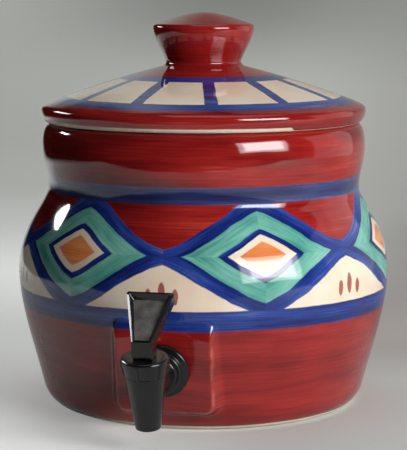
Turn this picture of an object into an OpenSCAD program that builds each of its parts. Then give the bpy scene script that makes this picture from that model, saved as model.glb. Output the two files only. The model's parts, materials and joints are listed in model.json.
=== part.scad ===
// Glazed ceramic drink crock with a lift-off lid and a self-closing lever tap.
// Z is up, the crock stands on z = 0 about the Z axis, and the tap faces -Y.

/* [Crock] */
// Outside diameter at the belly's widest line
belly_d = 265; // [245:1:285]
// Height of the belly's widest line
belly_z = 95; // [88:1:106]
// Rise from the belly's widest line to the neck's narrowest line
shoulder_h = 58; // [48:1:70]
// Outside diameter at the neck's narrowest line
neck_d = 222.5; // [214:0.5:226]
// Rise from the neck's narrowest line to the collar's widest line
collar_rise = 30; // [24:1:38]
// Outside diameter of the collar under the rim
collar_d = 230.4; // [226:0.2:236]
// Rise from the collar's widest line to the rim
rim_rise = 16.5; // [14:0.5:22]
// Outer diameter of the rim's flat top
rim_flat_d = 216; // [213:0.5:220]
// Diameter of the mouth inside the rim
mouth_d = 203; // [192:0.5:205]
// Thickness of the lip that turns in at the rim
lip_t = 6.5; // [5.5:0.1:8]
// Rounding of the lip's inner edge
lip_r = 2.5; // [1:0.1:2.7]
// Thickness of the crock's wall
wall_t = 7; // [5:0.1:9]
// Thickness of the crock's floor above the foot ring
floor_t = 8.5; // [6:0.1:12]
// Outside diameter of the heel, where the wall begins
heel_d = 231; // [222:1:238]
// Height of the heel
heel_z = 13; // [10:0.5:18]
// Lean of the wall just above the heel
heel_lean = 14; // [8:0.5:20]
// Outer diameter of the foot ring
foot_d = 206; // [196:1:214]
// Width of the foot ring's flat face
foot_w = 10; // [6:0.5:16]
// Depth of the hollow inside the foot ring
foot_recess = 2.5; // [1:0.1:4]

/* [Tap pad] */
// Height of the tap's centre line at the pad's face
tap_z = 45.8; // [42:0.1:52]
// Angle by which the pad and the tap tip forward
tap_tilt = 10; // [6:0.5:13]
// Width of the pad's flat face
pad_w = 66; // [50:1:68]
// Height of the pad's flat face
pad_h = 65; // [52:1:66]
// Rise of the pad's middle above the tap's centre line
pad_shift = 0.5; // [0:0.5:4]
// Corner radius of the pad's flat face
pad_corner_r = 7; // [6:0.5:14]
// How far the pad stands out of the wall at the tap's centre line
pad_proud = 3; // [2:0.1:5]
// Depth over which the pad's sides run out into the wall
pad_root = 14; // [10:0.5:18]
// How much the pad widens on each side over that depth
pad_flare = 6; // [2:0.5:8]
// Rounding of the pad's front edge
pad_edge_r = 1.2; // [0.6:0.1:2]
// Diameter of the hole for the tap's shank
tap_hole_d = 19; // [17:0.1:22]
// Rim left round the inner washer on its flat seat inside the wall
spot_rim = 3; // [1:0.5:5]

/* [Lid] */
// Outside diameter of the lid
lid_d = 231; // [226:0.5:240]
// Outer diameter of the lid's flat underside
lid_seat_d = 221; // [217:0.5:224]
// Rise from the underside to the lid's widest line
lid_edge_rise = 8.3; // [6:0.1:11]
// Diameter where the lid's edge turns into its top
lid_shoulder_d = 225; // [220:0.5:225.5]
// Rise from the widest line to the start of the lid's top
lid_shoulder_rise = 4; // [2.5:0.1:6]
// Rise of the lid's top from its edge to the knob
lid_crown_rise = 26.2; // [18:0.2:36]
// Thickness of the lid
lid_t = 6.5; // [5:0.1:8]
// Depth of the ring that centres the lid in the mouth
skirt_h = 10; // [6:0.5:16]
// Thickness of that ring
skirt_t = 6; // [4:0.1:8]
// Radial play of that ring in the mouth
skirt_play = 2; // [1:0.1:4]
// Rounding of that ring's lower edges
skirt_r = 1; // [0.4:0.1:1.8]
// Gap between the lid and the rim
lid_gap = 0.2; // [0.1:0.05:0.5]

/* [Knob] */
// Diameter at the foot of the knob's fillet
knob_foot_d = 62; // [58:0.5:70]
// Rise of the fillet
knob_fillet_h = 3.6; // [2:0.1:6]
// Diameter of the knob's narrowest line
knob_neck_d = 53.4; // [46:0.2:56]
// Rise from the narrowest to the widest line
knob_flare_h = 24; // [18:0.5:32]
// Largest diameter of the knob
knob_d = 72; // [64:0.5:80]
// Radius of the knob's upper edge
knob_edge_r = 3; // [2:0.1:5]
// Rise of the domed top above the widest line
knob_dome_h = 10.7; // [7:0.1:15]

/* [Tap body] */
// Distance from the pad's face to the spout's axis
tap_reach = 46.5; // [37:0.5:50]
// Outside diameter of the threaded shank
shank_d = 16; // [14:0.1:16.6]
// Diameter of the shank's bore
inlet_d = 10; // [7:0.1:11]
// Length of the shank beyond the nut
shank_tail = 4; // [1:0.5:8]
// Outer diameter of the flange
flange_d = 36.6; // [33:0.2:42]
// Thickness of the flange
flange_t = 4; // [3:0.1:6]
// Diameter of the step in front of the flange
step_d = 28.4; // [25.2:0.2:30]
// Thickness of that step
step_t = 3.6; // [2:0.1:6]
// Rounding of the flange's and the step's front edges
flange_edge_r = 1.2; // [0.4:0.1:1.5]
// Radius of the hollow where the barrel meets the step
barrel_fillet_r = 1.4; // [0.5:0.1:1.7]
// Diameter of the barrel between the flange and the spout
barrel_d = 20; // [18:0.2:20.6]
// Distance from the tap's centre line down to the spout's mouth
spout_drop = 21.4; // [19:0.1:28]
// Outside diameter of the spout's mouth
spout_mouth_d = 16.8; // [16:0.2:20]
// Rounding of the spout's mouth
spout_mouth_r = 0.8; // [0.3:0.1:1.2]
// Diameter of the outlet
outlet_d = 11; // [9:0.1:12]
// Distance from the tap's centre line down to the valve seat
seat_drop = 11; // [10:0.1:13]
// Inside diameter of the valve chamber
chamber_d = 16.4; // [15.6:0.1:17]
// Distance from the tap's centre line up to the spout's shoulder
spout_rise = 15.4; // [12:0.1:18]
// Outside diameter of the spout's shoulder
spout_top_d = 26.4; // [26:0.2:29]
// Outside diameter of the threaded neck inside the bonnet
thread_d = 22; // [20.6:0.1:22.6]

/* [Bonnet] */
// Height of the bonnet
bonnet_h = 11.4; // [10.6:0.1:14]
// Outside diameter of the bonnet's lower edge
bonnet_low_d = 27.4; // [26.4:0.2:29]
// Outside diameter of the bonnet's upper edge
bonnet_d = 31; // [29:0.2:34]
// Rounding of the bonnet's upper edge
bonnet_edge_r = 1.8; // [1:0.1:2.4]
// Thickness of the bonnet's top
bonnet_top_t = 3; // [2:0.1:4]
// Number of grip ribs round the bonnet
rib_count = 6; // [4:1:20]
// Angle at which the first grip rib stands
rib_turn = 23; // [0:1:60]
// Radius of a grip rib
rib_r = 0.8; // [0.4:0.05:1]
// Play of the bonnet on the threaded neck
thread_play = 0.15; // [0.05:0.01:0.3]
// Thickness of the sealing ring under the bonnet
gasket_t = 1.6; // [1:0.1:2]
// Diameter of the stem guide under the bonnet
guide_d = 9.4; // [8.8:0.1:9.8]
// Depth of the stem guide
guide_h = 3.2; // [2.6:0.1:4]
// Thickness of the stem's sealing ring
seal_t = 1.6; // [1.2:0.1:1.7]

/* [Valve] */
// Diameter of the valve stem
stem_d = 5; // [4.4:0.1:5.2]
// Radial play of the stem in its guide
stem_play = 0.1; // [0.05:0.01:0.2]
// Length of the stem above the lever's pin
stem_tip = 3; // [2.2:0.1:3.4]
// Diameter of the button that holds the seat cup
button_d = 7.2; // [6.4:0.1:7.6]
// Thickness of that button
button_t = 2; // [1.2:0.1:2.4]
// Diameter of the soft seat cup
cup_d = 14.4; // [13:0.1:14.8]
// Height of the seat cup's skirt
cup_h = 6.4; // [5:0.1:7]
// Diameter of the seat cup's hub
hub_d = 9; // [8.6:0.1:9.2]
// Height of the seat cup's hub
hub_h = 3; // [2:0.1:5]
// Thickness of the seat cup's floor under the button
cup_floor = 2; // [1.4:0.1:2.6]
// Gap between the seat cup and its seat at rest
seat_gap = 0.2; // [0.1:0.05:0.3]
// Wire diameter of the valve spring
wire_d = 0.9; // [0.6:0.05:1]
// Radial room between the spring and the seat cup's hub
spring_room = 0.35; // [0.2:0.05:0.6]
// Number of working turns of the spring
spring_turns = 6; // [4:1:8]
// Thickness of the washer above the spring
retainer_t = 0.8; // [0.5:0.1:1.2]

/* [Lever] */
// Width of the lever's post
lever_w = 12.8; // [12:0.2:15]
// Distance from the bonnet up to the lever's crease
post_h = 12.4; // [11:0.1:15]
// Distance from the lever's foot up to its pin
pin_rise = 4; // [3.6:0.1:5]
// Gap between the lever's foot and the bonnet
foot_gap = 0.2; // [0.1:0.05:0.3]
// Depth of the post behind the pin
heel_back = 5.4; // [4:0.1:6]
// Valve lift per radian of lever travel
lift_per_rad = 4.5; // [4:0.1:5]
// Lever travel from closed to fully open
lever_travel = 40; // [30:1:40]
// Diameter of the lever's pin
pin_d = 2; // [1.6:0.1:2.2]
// Radial play of the pin in the stem
pin_play = 0.05; // [0.02:0.01:0.1]
// Inset of the pin's ends from the post's sides
pin_inset = 0.4; // [0.2:0.1:1]
// Room between the stem and the lever's slot
slot_play = 0.5; // [0.35:0.05:0.7]
// Angle by which the paddle leans back from the tap's axis
paddle_lean = 52; // [44:1:56]
// Length of the paddle
paddle_l = 38; // [32:0.5:42]
// Width of the paddle's upper edge before its corners are rounded
paddle_w = 31.8; // [24:0.2:36]
// Thickness of the paddle
paddle_t = 8; // [6:0.1:9]
// Corner radius of the paddle's upper edge
paddle_corner_r = 1.5; // [1:0.1:4]
// Width of the flat border round the paddle's panel
border_w = 0.9; // [0.5:0.1:2]
// Depth of the paddle's panel at its lower end
panel_d = 0.4; // [0.2:0.1:0.8]
// Angle by which the panel sinks towards the paddle's upper edge
panel_dip = 6; // [1:0.5:7]
// Width of the slope between border and panel at the panel's lower end
panel_slope = 0.7; // [0.4:0.1:1.2]
// How much wider that slope is at the panel's upper end
panel_spread = 2; // [0.5:0.1:3]
// Wall left round the hollow in the paddle's back
core_wall = 2.2; // [1.6:0.1:3]
// Depth of the hollow in the paddle's back
core_d = 2; // [1:0.1:2.4]

/* [Washers and nut] */
// Thickness of the washer under the flange
flange_washer_t = 2.5; // [1.5:0.1:4]
// Inset of that washer from the flange's edge
flange_washer_inset = 1.3; // [0.5:0.1:3]
// Outer diameter of the soft washer inside the crock
inner_washer_d = 32; // [28:0.5:34]
// Thickness of the soft washer inside the crock
inner_washer_t = 2.5; // [1.5:0.1:4]
// Outer diameter of the hard washer inside the crock
plain_washer_d = 30; // [27:0.5:32]
// Thickness of the hard washer inside the crock
plain_washer_t = 1.5; // [1:0.1:2.5]
// Radial play of washers and nut on the shank
shank_play = 0.1; // [0.02:0.01:0.3]
// Width of the nut across its flats
nut_af = 24; // [22:0.5:27]
// Height of the nut
nut_h = 9; // [6:0.5:12]
// Diameter of the nut's washer face
nut_face_d = 28; // [26:0.5:32]
// Thickness of the nut's washer face
nut_face_t = 2; // [1:0.1:3]

/* [Hidden] */
$fn = 96;
eps = 0.01;
overrun = 1;

// Points on a cubic curve between two ends, drawn towards two guide points.
function bend(a, b, c, d, t) =
    a * pow(1 - t, 3) + b * 3 * t * pow(1 - t, 2) + c * 3 * t * t * (1 - t) + d * pow(t, 3);
function heading(a, b, c, d, t) =
    (b - a) * pow(1 - t, 2) + (c - b) * 2 * t * (1 - t) + (d - c) * t * t;
function curve(g, steps, first = 0) =
    [for (i = [first : steps]) bend(g[0], g[1], g[2], g[3], i / steps)];
// The same curve moved sideways by a wall's thickness.
function inset_curve(g, steps, by, first = 0) =
    [for (i = [first : steps])
        let (v = heading(g[0], g[1], g[2], g[3], i / steps))
        bend(g[0], g[1], g[2], g[3], i / steps) + by * [-v[1], v[0]] / norm(v)];
function arc(centre, r, from, to, steps, first = 0) =
    [for (i = [first : steps])
        let (a = from + (to - from) * i / steps)
        centre + r * [cos(a), sin(a)]];

// Heights of the crock's main lines.
neck_z = belly_z + shoulder_h;
collar_z = neck_z + collar_rise;
crock_h = collar_z + rim_rise;

// Outline of the crock from the foot to the rim, as curves between its main lines.
foot_edge = [foot_d / 2, 0];
heel = [heel_d / 2, heel_z];
belly = [belly_d / 2, belly_z];
neck = [neck_d / 2, neck_z];
collar = [collar_d / 2, collar_z];
rim_edge = [rim_flat_d / 2, crock_h];
up = [0, 1];
heel_dir = [tan(heel_lean), 1];
wall_run = belly_z - heel_z;
foot_curve = [foot_edge, foot_edge + [(heel[0] - foot_edge[0]) * 0.52, 0],
    heel - heel_dir * heel_z * 0.46, heel];
wall_curve = [heel, heel + heel_dir * wall_run * 0.366, belly - up * wall_run * 0.305, belly];
shoulder_curve = [belly, belly + up * shoulder_h * 0.517, neck - up * shoulder_h * 0.155, neck];
neck_curve = [neck, neck + up * collar_rise * 0.4, collar - up * collar_rise * 0.4, collar];
rim_curve = [collar, collar + up * rim_rise * 0.576,
    rim_edge + [(collar_d - rim_flat_d) / 2 * 0.694, 0], rim_edge];
foot_in = foot_d / 2 - foot_w;
crock_outline = concat(
    [[0, foot_recess], [foot_in - foot_recess, foot_recess], [foot_in, 0]],
    curve(foot_curve, 6),
    curve(wall_curve, 12, 1),
    curve(shoulder_curve, 14, 1),
    curve(neck_curve, 8, 1),
    curve(rim_curve, 8, 1),
    [[0, crock_h]]);

// Outline of the crock's inside, one wall's thickness in, with the lip at the mouth.
wall_in = inset_curve(wall_curve, 12, wall_t);
floor_edge = wall_in[0];
floor_curve = [[floor_edge[0] * 0.86, floor_t], [floor_edge[0] * 0.95, floor_t],
    floor_edge - heel_dir * (floor_edge[1] - floor_t) * 0.6, floor_edge];
collar_in = collar - [wall_t, 0];
lip_mid = [mouth_d / 2 + lip_r, crock_h - lip_t];
lip_curve = [collar_in, collar_in + up * (lip_mid[1] - collar_z) * 0.6,
    lip_mid + [(collar_in[0] - lip_mid[0]) * 0.6, 0], lip_mid];
cavity_outline = concat(
    [[0, floor_t]],
    curve(floor_curve, 6),
    [for (i = [1 : len(wall_in) - 1]) wall_in[i]],
    inset_curve(shoulder_curve, 14, wall_t, 1),
    inset_curve(neck_curve, 8, wall_t, 1),
    curve(lip_curve, 6, 1),
    arc(lip_mid + up * lip_r, lip_r, 270, 180, 4),
    arc([lip_mid[0], crock_h - lip_r], lip_r, 180, 90, 4),
    [[lip_mid[0], crock_h + lip_t], [0, crock_h + lip_t]]);

// Where the pad's face stands, and the wall that is left between it and the inner seat.
outer_radii = [for (p = curve(wall_curve, 12)) [p[1], p[0]]];
inner_radii = [for (p = wall_in) [p[1], p[0]]];
pad_y = lookup(tap_z, outer_radii) + pad_proud;
spot_d = inner_washer_d + 2 * spot_rim;
spot_top_z = tap_z + cos(tap_tilt) * spot_d / 2 + sin(tap_tilt) * wall_t;
spot_margin = 0.3;
tap_wall = (pad_y - lookup(spot_top_z, inner_radii)) * cos(tap_tilt)
    + (spot_top_z - tap_z) * sin(tap_tilt) - spot_margin;

// Outline of the lid, with heights measured from its flat underside.
lid_z = crock_h + lid_gap;
lid_seat = [lid_seat_d / 2, 0];
lid_edge = [lid_d / 2, lid_edge_rise];
lid_shoulder = [lid_shoulder_d / 2, lid_edge_rise + lid_shoulder_rise];
knob_foot = [knob_foot_d / 2, lid_shoulder[1] + lid_crown_rise];
knob_neck = [knob_neck_d / 2, knob_foot[1] + knob_fillet_h];
knob_edge = [knob_d / 2, knob_neck[1] + knob_flare_h];
knob_top = [0, knob_edge[1] + knob_dome_h];
edge_turn = 72;
lip_end = knob_edge - [knob_edge_r, 0] + knob_edge_r * [cos(edge_turn), sin(edge_turn)];
lid_run = lid_shoulder[0] - knob_foot[0];
low_edge = [lid_seat, lid_seat + [(lid_edge[0] - lid_seat[0]) * 0.56, 0],
    lid_edge - up * lid_edge_rise * 0.46, lid_edge];
high_edge = [lid_edge, lid_edge + up * lid_shoulder_rise * 0.52,
    lid_shoulder + [(lid_edge[0] - lid_shoulder[0]) * 0.6, -lid_shoulder_rise * 0.2], lid_shoulder];
crown = [lid_shoulder, lid_shoulder + [-lid_run * 0.215, lid_crown_rise * 0.294],
    knob_foot + [lid_run * 0.356, -lid_crown_rise * 0.286], knob_foot];
fillet = [knob_foot, knob_foot + [(knob_neck[0] - knob_foot[0]) * 0.6, knob_fillet_h * 0.2],
    knob_neck - up * knob_fillet_h * 0.45, knob_neck];
flare = [knob_neck, knob_neck + [(knob_edge[0] - knob_neck[0]) * 0.1, knob_flare_h * 0.22],
    knob_edge - up * knob_flare_h * 0.32, knob_edge];
dome_dir = [-sin(edge_turn), cos(edge_turn)];
dome = [lip_end, lip_end + dome_dir * knob_d * 0.125, knob_top + [knob_d / 6, 0], knob_top];
skirt_out = mouth_d / 2 - skirt_play;
skirt_in = skirt_out - skirt_t;
crown_heights = [for (p = curve(crown, 16)) p];
knob_in = knob_neck[0] - lid_t;
hollow_edge = knob_edge - [lid_t, lid_t / 3];
hollow_top = knob_top - up * lid_t;
hollow_flare = [[knob_in, knob_neck[1]], [knob_in, knob_neck[1]] + up * knob_flare_h * 0.25,
    hollow_edge - up * knob_flare_h * 0.3, hollow_edge];
hollow_dome = [hollow_edge, hollow_edge + up * knob_dome_h * 0.25,
    hollow_top + [hollow_edge[0] * 0.6, 0], hollow_top];
under_steps = 8;
under_turn = lid_t / 2;
under_lid = [for (i = [0 : under_steps])
    let (r = skirt_in - under_turn + (knob_in + under_turn * 2 - skirt_in) * i / under_steps)
    [r, lookup(r, crown_heights) - lid_t * 1.05]];
lid_outline = concat(
    curve(low_edge, 6),
    curve(high_edge, 5, 1),
    curve(crown, 16, 1),
    curve(fillet, 5, 1),
    curve(flare, 10, 1),
    arc(knob_edge - [knob_edge_r, 0], knob_edge_r, 0, edge_turn, 5, 1),
    curve(dome, 8, 1),
    [for (i = [8 : -1 : 0]) curve(hollow_dome, 8)[i]],
    [for (i = [7 : -1 : 0]) curve(hollow_flare, 8)[i]],
    [for (i = [under_steps : -1 : 0]) under_lid[i]],
    [[skirt_in, under_lid[0][1] - under_turn], [skirt_in, skirt_r - skirt_h],
        [skirt_in + skirt_r, -skirt_h], [skirt_out - skirt_r, -skirt_h],
        [skirt_out, skirt_r - skirt_h], [skirt_out, 0]]);

// Stations along the tap's centre line: out of the crock is towards -Y, into it is +Y.
flange_back = -flange_washer_t;
flange_front = flange_back - flange_t;
step_front = flange_front - step_t;
washer_in = tap_wall + inner_washer_t;
nut_start = washer_in + plain_washer_t;
shank_end = nut_start + nut_h + shank_tail;

// Heights along the spout's axis, measured from the tap's centre line.
bonnet_top = spout_rise + foot_gap + bonnet_h;
bonnet_under = bonnet_top - bonnet_top_t;
thread_top = bonnet_under - gasket_t;
guide_end = bonnet_under - guide_h;
retainer_low = guide_end - retainer_t;
cup_low = seat_gap - seat_drop;
cup_top = cup_low + cup_h;
hub_top = cup_top + hub_h;
button_low = cup_low + cup_floor;
pin_z = bonnet_top + foot_gap + pin_rise;
stem_top = pin_z + stem_tip;
stem_bore_d = stem_d + 2 * stem_play;
seal_room_d = stem_bore_d + 2 * seal_t;
spring_r = hub_d / 2 + spring_room + wire_d / 2;
spring_low = cup_top + wire_d / 2;
spring_high = retainer_low - wire_d / 2;
shank_bore_d = shank_d + 2 * shank_play;
rib_lean = atan((bonnet_d - bonnet_low_d) / 2 / (bonnet_h - bonnet_edge_r));

// The lever's foot: a rolling curve that lifts the pin in step with the lever's angle.
function foot_point(a) =
    (pin_rise + lift_per_rad * a * PI / 180) * [-sin(a), -cos(a)]
    + lift_per_rad * [-cos(a), sin(a)];
toe = foot_point(lever_travel);
crease_z = post_h - foot_gap - pin_rise;
lean_dir = [sin(paddle_lean), cos(paddle_lean)];
lean_back = [cos(paddle_lean), -sin(paddle_lean)];
crease = [toe[0], crease_z];
back_start = crease + lean_back * paddle_t;
back_run = (heel_back - back_start[0]) / lean_dir[0];
back_joint = back_start + lean_dir * back_run;
post_top = back_joint + up * paddle_t / 4;
post_outline = concat(
    [[heel_back, -pin_rise]],
    [for (a = [0 : lever_travel / 8 : lever_travel]) foot_point(a)],
    [crease, post_top]);
slot_half = stem_d / 2 + slot_play;
swing = [-sin(lever_travel), -cos(lever_travel)];
swing_side = [-cos(lever_travel), sin(lever_travel)];
slot_run = pin_rise * 4;

// Moves a shape from the tap's own frame onto the pad.
module in_tap() {
    translate([0, -pad_y, tap_z])
        rotate([tap_tilt, 0, 0])
            children();
}

// A disc or tube about the tap's centre line, from one station to another.
module along_tap(from, to, d) {
    translate([0, from, 0])
        rotate([-90, 0, 0])
            cylinder(h = to - from, d = d);
}

module ring_along_tap(from, to, d, bore) {
    difference() {
        along_tap(from, to, d);
        along_tap(from - eps, to + eps, bore);
    }
}

// Moves a shape from the spout's axis into the tap's frame.
module on_spout() {
    in_tap()
        translate([0, -tap_reach, 0])
            children();
}

module pad_plate(back, grow) {
    for (x = [-1, 1], z = [-1, 1])
        translate([x * (pad_w / 2 - pad_corner_r), back, pad_shift + z * (pad_h / 2 - pad_corner_r)])
            rotate([-90, 0, 0])
                cylinder(h = eps, r = pad_corner_r + grow, $fn = 32);
}

module pad() {
    hull() {
        pad_plate(0, -pad_edge_r);
        pad_plate(pad_edge_r, 0);
        pad_plate(pad_root, pad_flare);
    }
}

module crock() {
    color("#93302d")
        difference() {
            union() {
                rotate_extrude()
                    polygon(crock_outline);
                in_tap()
                    pad();
            }
            rotate_extrude()
                polygon(cavity_outline);
            in_tap() {
                along_tap(-pad_root, tap_wall + pad_root, tap_hole_d);
                along_tap(tap_wall, shank_end, spot_d);
            }
        }
}

module lid() {
    color("#2f4590")
        translate([0, 0, lid_z])
            rotate_extrude()
                polygon(lid_outline);
}

module spout_shell() {
    rotate_extrude()
        polygon([[0, -spout_drop],
            each arc([spout_mouth_d / 2 - spout_mouth_r, spout_mouth_r - spout_drop],
                spout_mouth_r, 270, 360, 4),
            [spout_top_d / 2, spout_rise],
            [thread_d / 2, spout_rise],
            [thread_d / 2, thread_top],
            [0, thread_top]]);
}

// The flange, its step and the barrel in one turning, with rounded edges and a hollow at the barrel.
module flange_shell() {
    rotate([90, 0, 0])
        rotate_extrude()
            polygon([[0, -flange_back],
                [flange_d / 2, -flange_back],
                each arc([flange_d / 2 - flange_edge_r, -flange_front - flange_edge_r],
                    flange_edge_r, 0, 90, 4),
                [step_d / 2, -flange_front],
                each arc([step_d / 2 - flange_edge_r, -step_front - flange_edge_r],
                    flange_edge_r, 0, 90, 4),
                each arc([barrel_d / 2 + barrel_fillet_r, barrel_fillet_r - step_front],
                    barrel_fillet_r, 270, 180, 5),
                [barrel_d / 2, tap_reach],
                [0, tap_reach]]);
}

module tap_body() {
    color("#1d1d1f")
        in_tap()
            difference() {
                union() {
                    flange_shell();
                    along_tap(flange_back - eps, shank_end, shank_d);
                    translate([0, -tap_reach, 0])
                        spout_shell();
                }
                along_tap(-tap_reach, shank_end + eps, inlet_d);
                translate([0, -tap_reach, -seat_drop])
                    cylinder(h = seat_drop + thread_top + eps, d = chamber_d);
                translate([0, -tap_reach, -spout_drop - eps])
                    cylinder(h = spout_drop, d = outlet_d);
            }
}

module flange_washer() {
    color("#2a2a2c")
        in_tap()
            ring_along_tap(flange_back, 0, flange_d - 2 * flange_washer_inset, shank_bore_d);
}

module inner_washer() {
    color("#2a2a2c")
        in_tap()
            ring_along_tap(tap_wall, washer_in, inner_washer_d, shank_bore_d);
}

module plain_washer() {
    color("#d8d8d4")
        in_tap()
            ring_along_tap(washer_in, nut_start, plain_washer_d, shank_bore_d);
}

module shank_nut() {
    color("#1d1d1f")
        in_tap()
            difference() {
                union() {
                    along_tap(nut_start, nut_start + nut_face_t, nut_face_d);
                    translate([0, nut_start, 0])
                        rotate([-90, 0, 0])
                            cylinder(h = nut_h, d = nut_af / cos(30), $fn = 6);
                }
                along_tap(nut_start - eps, nut_start + nut_h + eps, shank_bore_d);
            }
}

module bonnet() {
    bore = thread_d / 2 + thread_play;
    low = bonnet_top - bonnet_h;
    color("#1d1d1f")
        on_spout() {
            rotate_extrude()
                polygon(concat(
                    [[bore, low], [bonnet_low_d / 2, low]],
                    arc([bonnet_d / 2 - bonnet_edge_r, bonnet_top - bonnet_edge_r],
                        bonnet_edge_r, 0, 90, 6),
                    [[stem_bore_d / 2, bonnet_top], [stem_bore_d / 2, guide_end + seal_t],
                        [seal_room_d / 2, guide_end + seal_t], [seal_room_d / 2, guide_end],
                        [guide_d / 2, guide_end], [guide_d / 2, bonnet_under], [bore, bonnet_under]]));
            for (i = [0 : rib_count - 1])
                rotate(rib_turn + i * 360 / rib_count)
                    translate([bonnet_low_d / 2, 0, low])
                        rotate([0, rib_lean, 0])
                            cylinder(h = (bonnet_h - bonnet_edge_r) / cos(rib_lean), r = rib_r);
        }
}

module bonnet_gasket() {
    color("#c9c4b8")
        on_spout()
            translate([0, 0, thread_top])
                difference() {
                    cylinder(h = gasket_t, d = thread_d);
                    translate([0, 0, -eps])
                        cylinder(h = gasket_t + 2 * eps, d = chamber_d);
                }
}

module stem_seal() {
    color("#2a2a2c")
        on_spout()
            translate([0, 0, guide_end + seal_t / 2])
                rotate_extrude()
                    translate([stem_bore_d / 2 + seal_t / 2, 0])
                        circle(d = seal_t);
}

module seal_retainer() {
    color("#b9bcc0")
        on_spout()
            translate([0, 0, retainer_low])
                difference() {
                    cylinder(h = retainer_t, r = spring_r + wire_d);
                    translate([0, 0, -eps])
                        cylinder(h = retainer_t + 2 * eps, d = stem_bore_d);
                }
}

// The spring's wire: one closed turn at each end and an even climb between them.
spring_sides = 6;
spring_steps = 12;
turns = spring_turns + 2;
end_pitch = wire_d * 1.5;
mid_pitch = (spring_high - spring_low - 2 * end_pitch) / spring_turns;
function spring_climb(n) =
    n < 1 ? n * end_pitch
    : n < turns - 1 ? end_pitch + (n - 1) * mid_pitch
    : end_pitch + spring_turns * mid_pitch + (n - turns + 1) * end_pitch;
spring_rings = turns * spring_steps;
spring_points = [for (i = [0 : spring_rings], j = [0 : spring_sides - 1])
    let (a = i * 360 / spring_steps,
        b = j * 360 / spring_sides,
        r = spring_r + wire_d / 2 * cos(b))
    [r * cos(a), r * sin(a), spring_low + spring_climb(i / spring_steps) + wire_d / 2 * sin(b)]];
spring_faces = concat(
    [for (i = [0 : spring_rings - 1], j = [0 : spring_sides - 1])
        let (k = (j + 1) % spring_sides,
            p = i * spring_sides,
            q = p + spring_sides)
        each [[p + j, p + k, q + k], [p + j, q + k, q + j]]],
    [for (j = [1 : spring_sides - 2]) [0, j + 1, j]],
    [for (j = [1 : spring_sides - 2])
        let (e = spring_rings * spring_sides)
        [e, e + j, e + j + 1]]);

module valve_spring() {
    color("#b9bcc0")
        on_spout()
            polyhedron(points = spring_points, faces = spring_faces, convexity = 10);
}

module seat_cup() {
    lip = outlet_d / 2 + wire_d;
    color("#e4ddd0")
        on_spout()
            difference() {
                rotate_extrude()
                    polygon([[0, cup_low], [lip, cup_low], [cup_d / 2, cup_low + wire_d],
                        [cup_d / 2, cup_top], [hub_d / 2, cup_top], [hub_d / 2, hub_top], [0, hub_top]]);
                translate([0, 0, button_low])
                    cylinder(h = button_t, d = button_d);
                translate([0, 0, button_low])
                    cylinder(h = hub_top - button_low + eps, d = stem_d);
            }
}

module valve_stem() {
    chamfer = stem_d / 8;
    color("#1d1d1f")
        on_spout()
            difference() {
                rotate_extrude()
                    polygon([[0, button_low],
                        [button_d / 2, button_low],
                        [button_d / 2, button_low + button_t],
                        [stem_d / 2, button_low + button_t],
                        [stem_d / 2, stem_top - chamfer],
                        [stem_d / 2 - chamfer, stem_top],
                        [0, stem_top]]);
                translate([0, 0, pin_z])
                    rotate([0, 90, 0])
                        cylinder(h = stem_d + 2 * overrun, d = pin_d + 2 * pin_play, center = true);
            }
}

module lever_pin() {
    color("#b9bcc0")
        on_spout()
            translate([0, 0, pin_z])
                rotate([0, 90, 0])
                    cylinder(h = lever_w - 2 * pin_inset, d = pin_d, center = true);
}

// The paddle's fan outline, shrunk by a margin that may grow upwards, and cut off below a length.
function fan_outline(margin, low, corner, growth = 0) =
    let (spread = (paddle_w - lever_w) / 2 - growth,
        side = atan(spread / paddle_l),
        edge = margin / cos(side),
        rise = paddle_l - margin - growth - corner,
        foot = lever_w / 2 + spread * low / paddle_l - edge,
        mid = lever_w / 2 + spread * rise / paddle_l - edge - corner / cos(side))
    concat(
        [[-foot, low], [foot, low]],
        arc([mid, rise], corner, -side, 90, 6),
        arc([-mid, rise], corner, 90, 180 + side, 6));

panel_corner = paddle_corner_r * 0.6;

// A slab of the paddle between two depths behind its front face, which may dip backwards.
module paddle_slab(front, back, margin, low, corner, dip = 0, growth = 0) {
    translate([0, crease[0], crease[1]])
        rotate([90 - paddle_lean - dip, 0, 0])
            translate([0, 0, -back])
                linear_extrude(height = back - front)
                    polygon(fan_outline(margin, low, corner, growth));
}

// The panel's recess: it slopes in from the border and sinks towards the paddle's upper edge.
module panel_recess() {
    hull() {
        paddle_slab(-panel_d, 0, border_w, border_w, panel_corner);
        paddle_slab(0, panel_d, border_w + panel_slope, border_w + panel_slope,
            panel_corner, panel_dip, panel_spread);
    }
}

// A side outline of the lever, drawn as depth and height, given its width.
module lever_side(width) {
    rotate([90, 0, 90])
        translate([0, 0, -width / 2])
            linear_extrude(height = width)
                children();
}

module lever() {
    color("#1d1d1f")
        on_spout()
            translate([0, 0, pin_z])
                difference() {
                    union() {
                        lever_side(lever_w)
                            polygon(post_outline);
                        paddle_slab(0, paddle_t, 0, 0, paddle_corner_r);
                    }
                    panel_recess();
                    paddle_slab(paddle_t - core_d, paddle_t + core_d, core_wall, back_run + core_wall,
                        panel_corner);
                    lever_side(2 * slot_half) {
                        circle(r = stem_tip + slot_play);
                        polygon([[slot_half, 0], [slot_half, -slot_run],
                            swing * slot_run + swing_side * slot_half, swing_side * slot_half]);
                    }
                    rotate([0, 90, 0])
                        cylinder(h = lever_w + 2 * overrun, d = pin_d, center = true);
                }
}

crock();
lid();
tap_body();
flange_washer();
inner_washer();
plain_washer();
shank_nut();
bonnet();
bonnet_gasket();
stem_seal();
seal_retainer();
valve_spring();
seat_cup();
valve_stem();
lever_pin();
lever();
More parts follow.
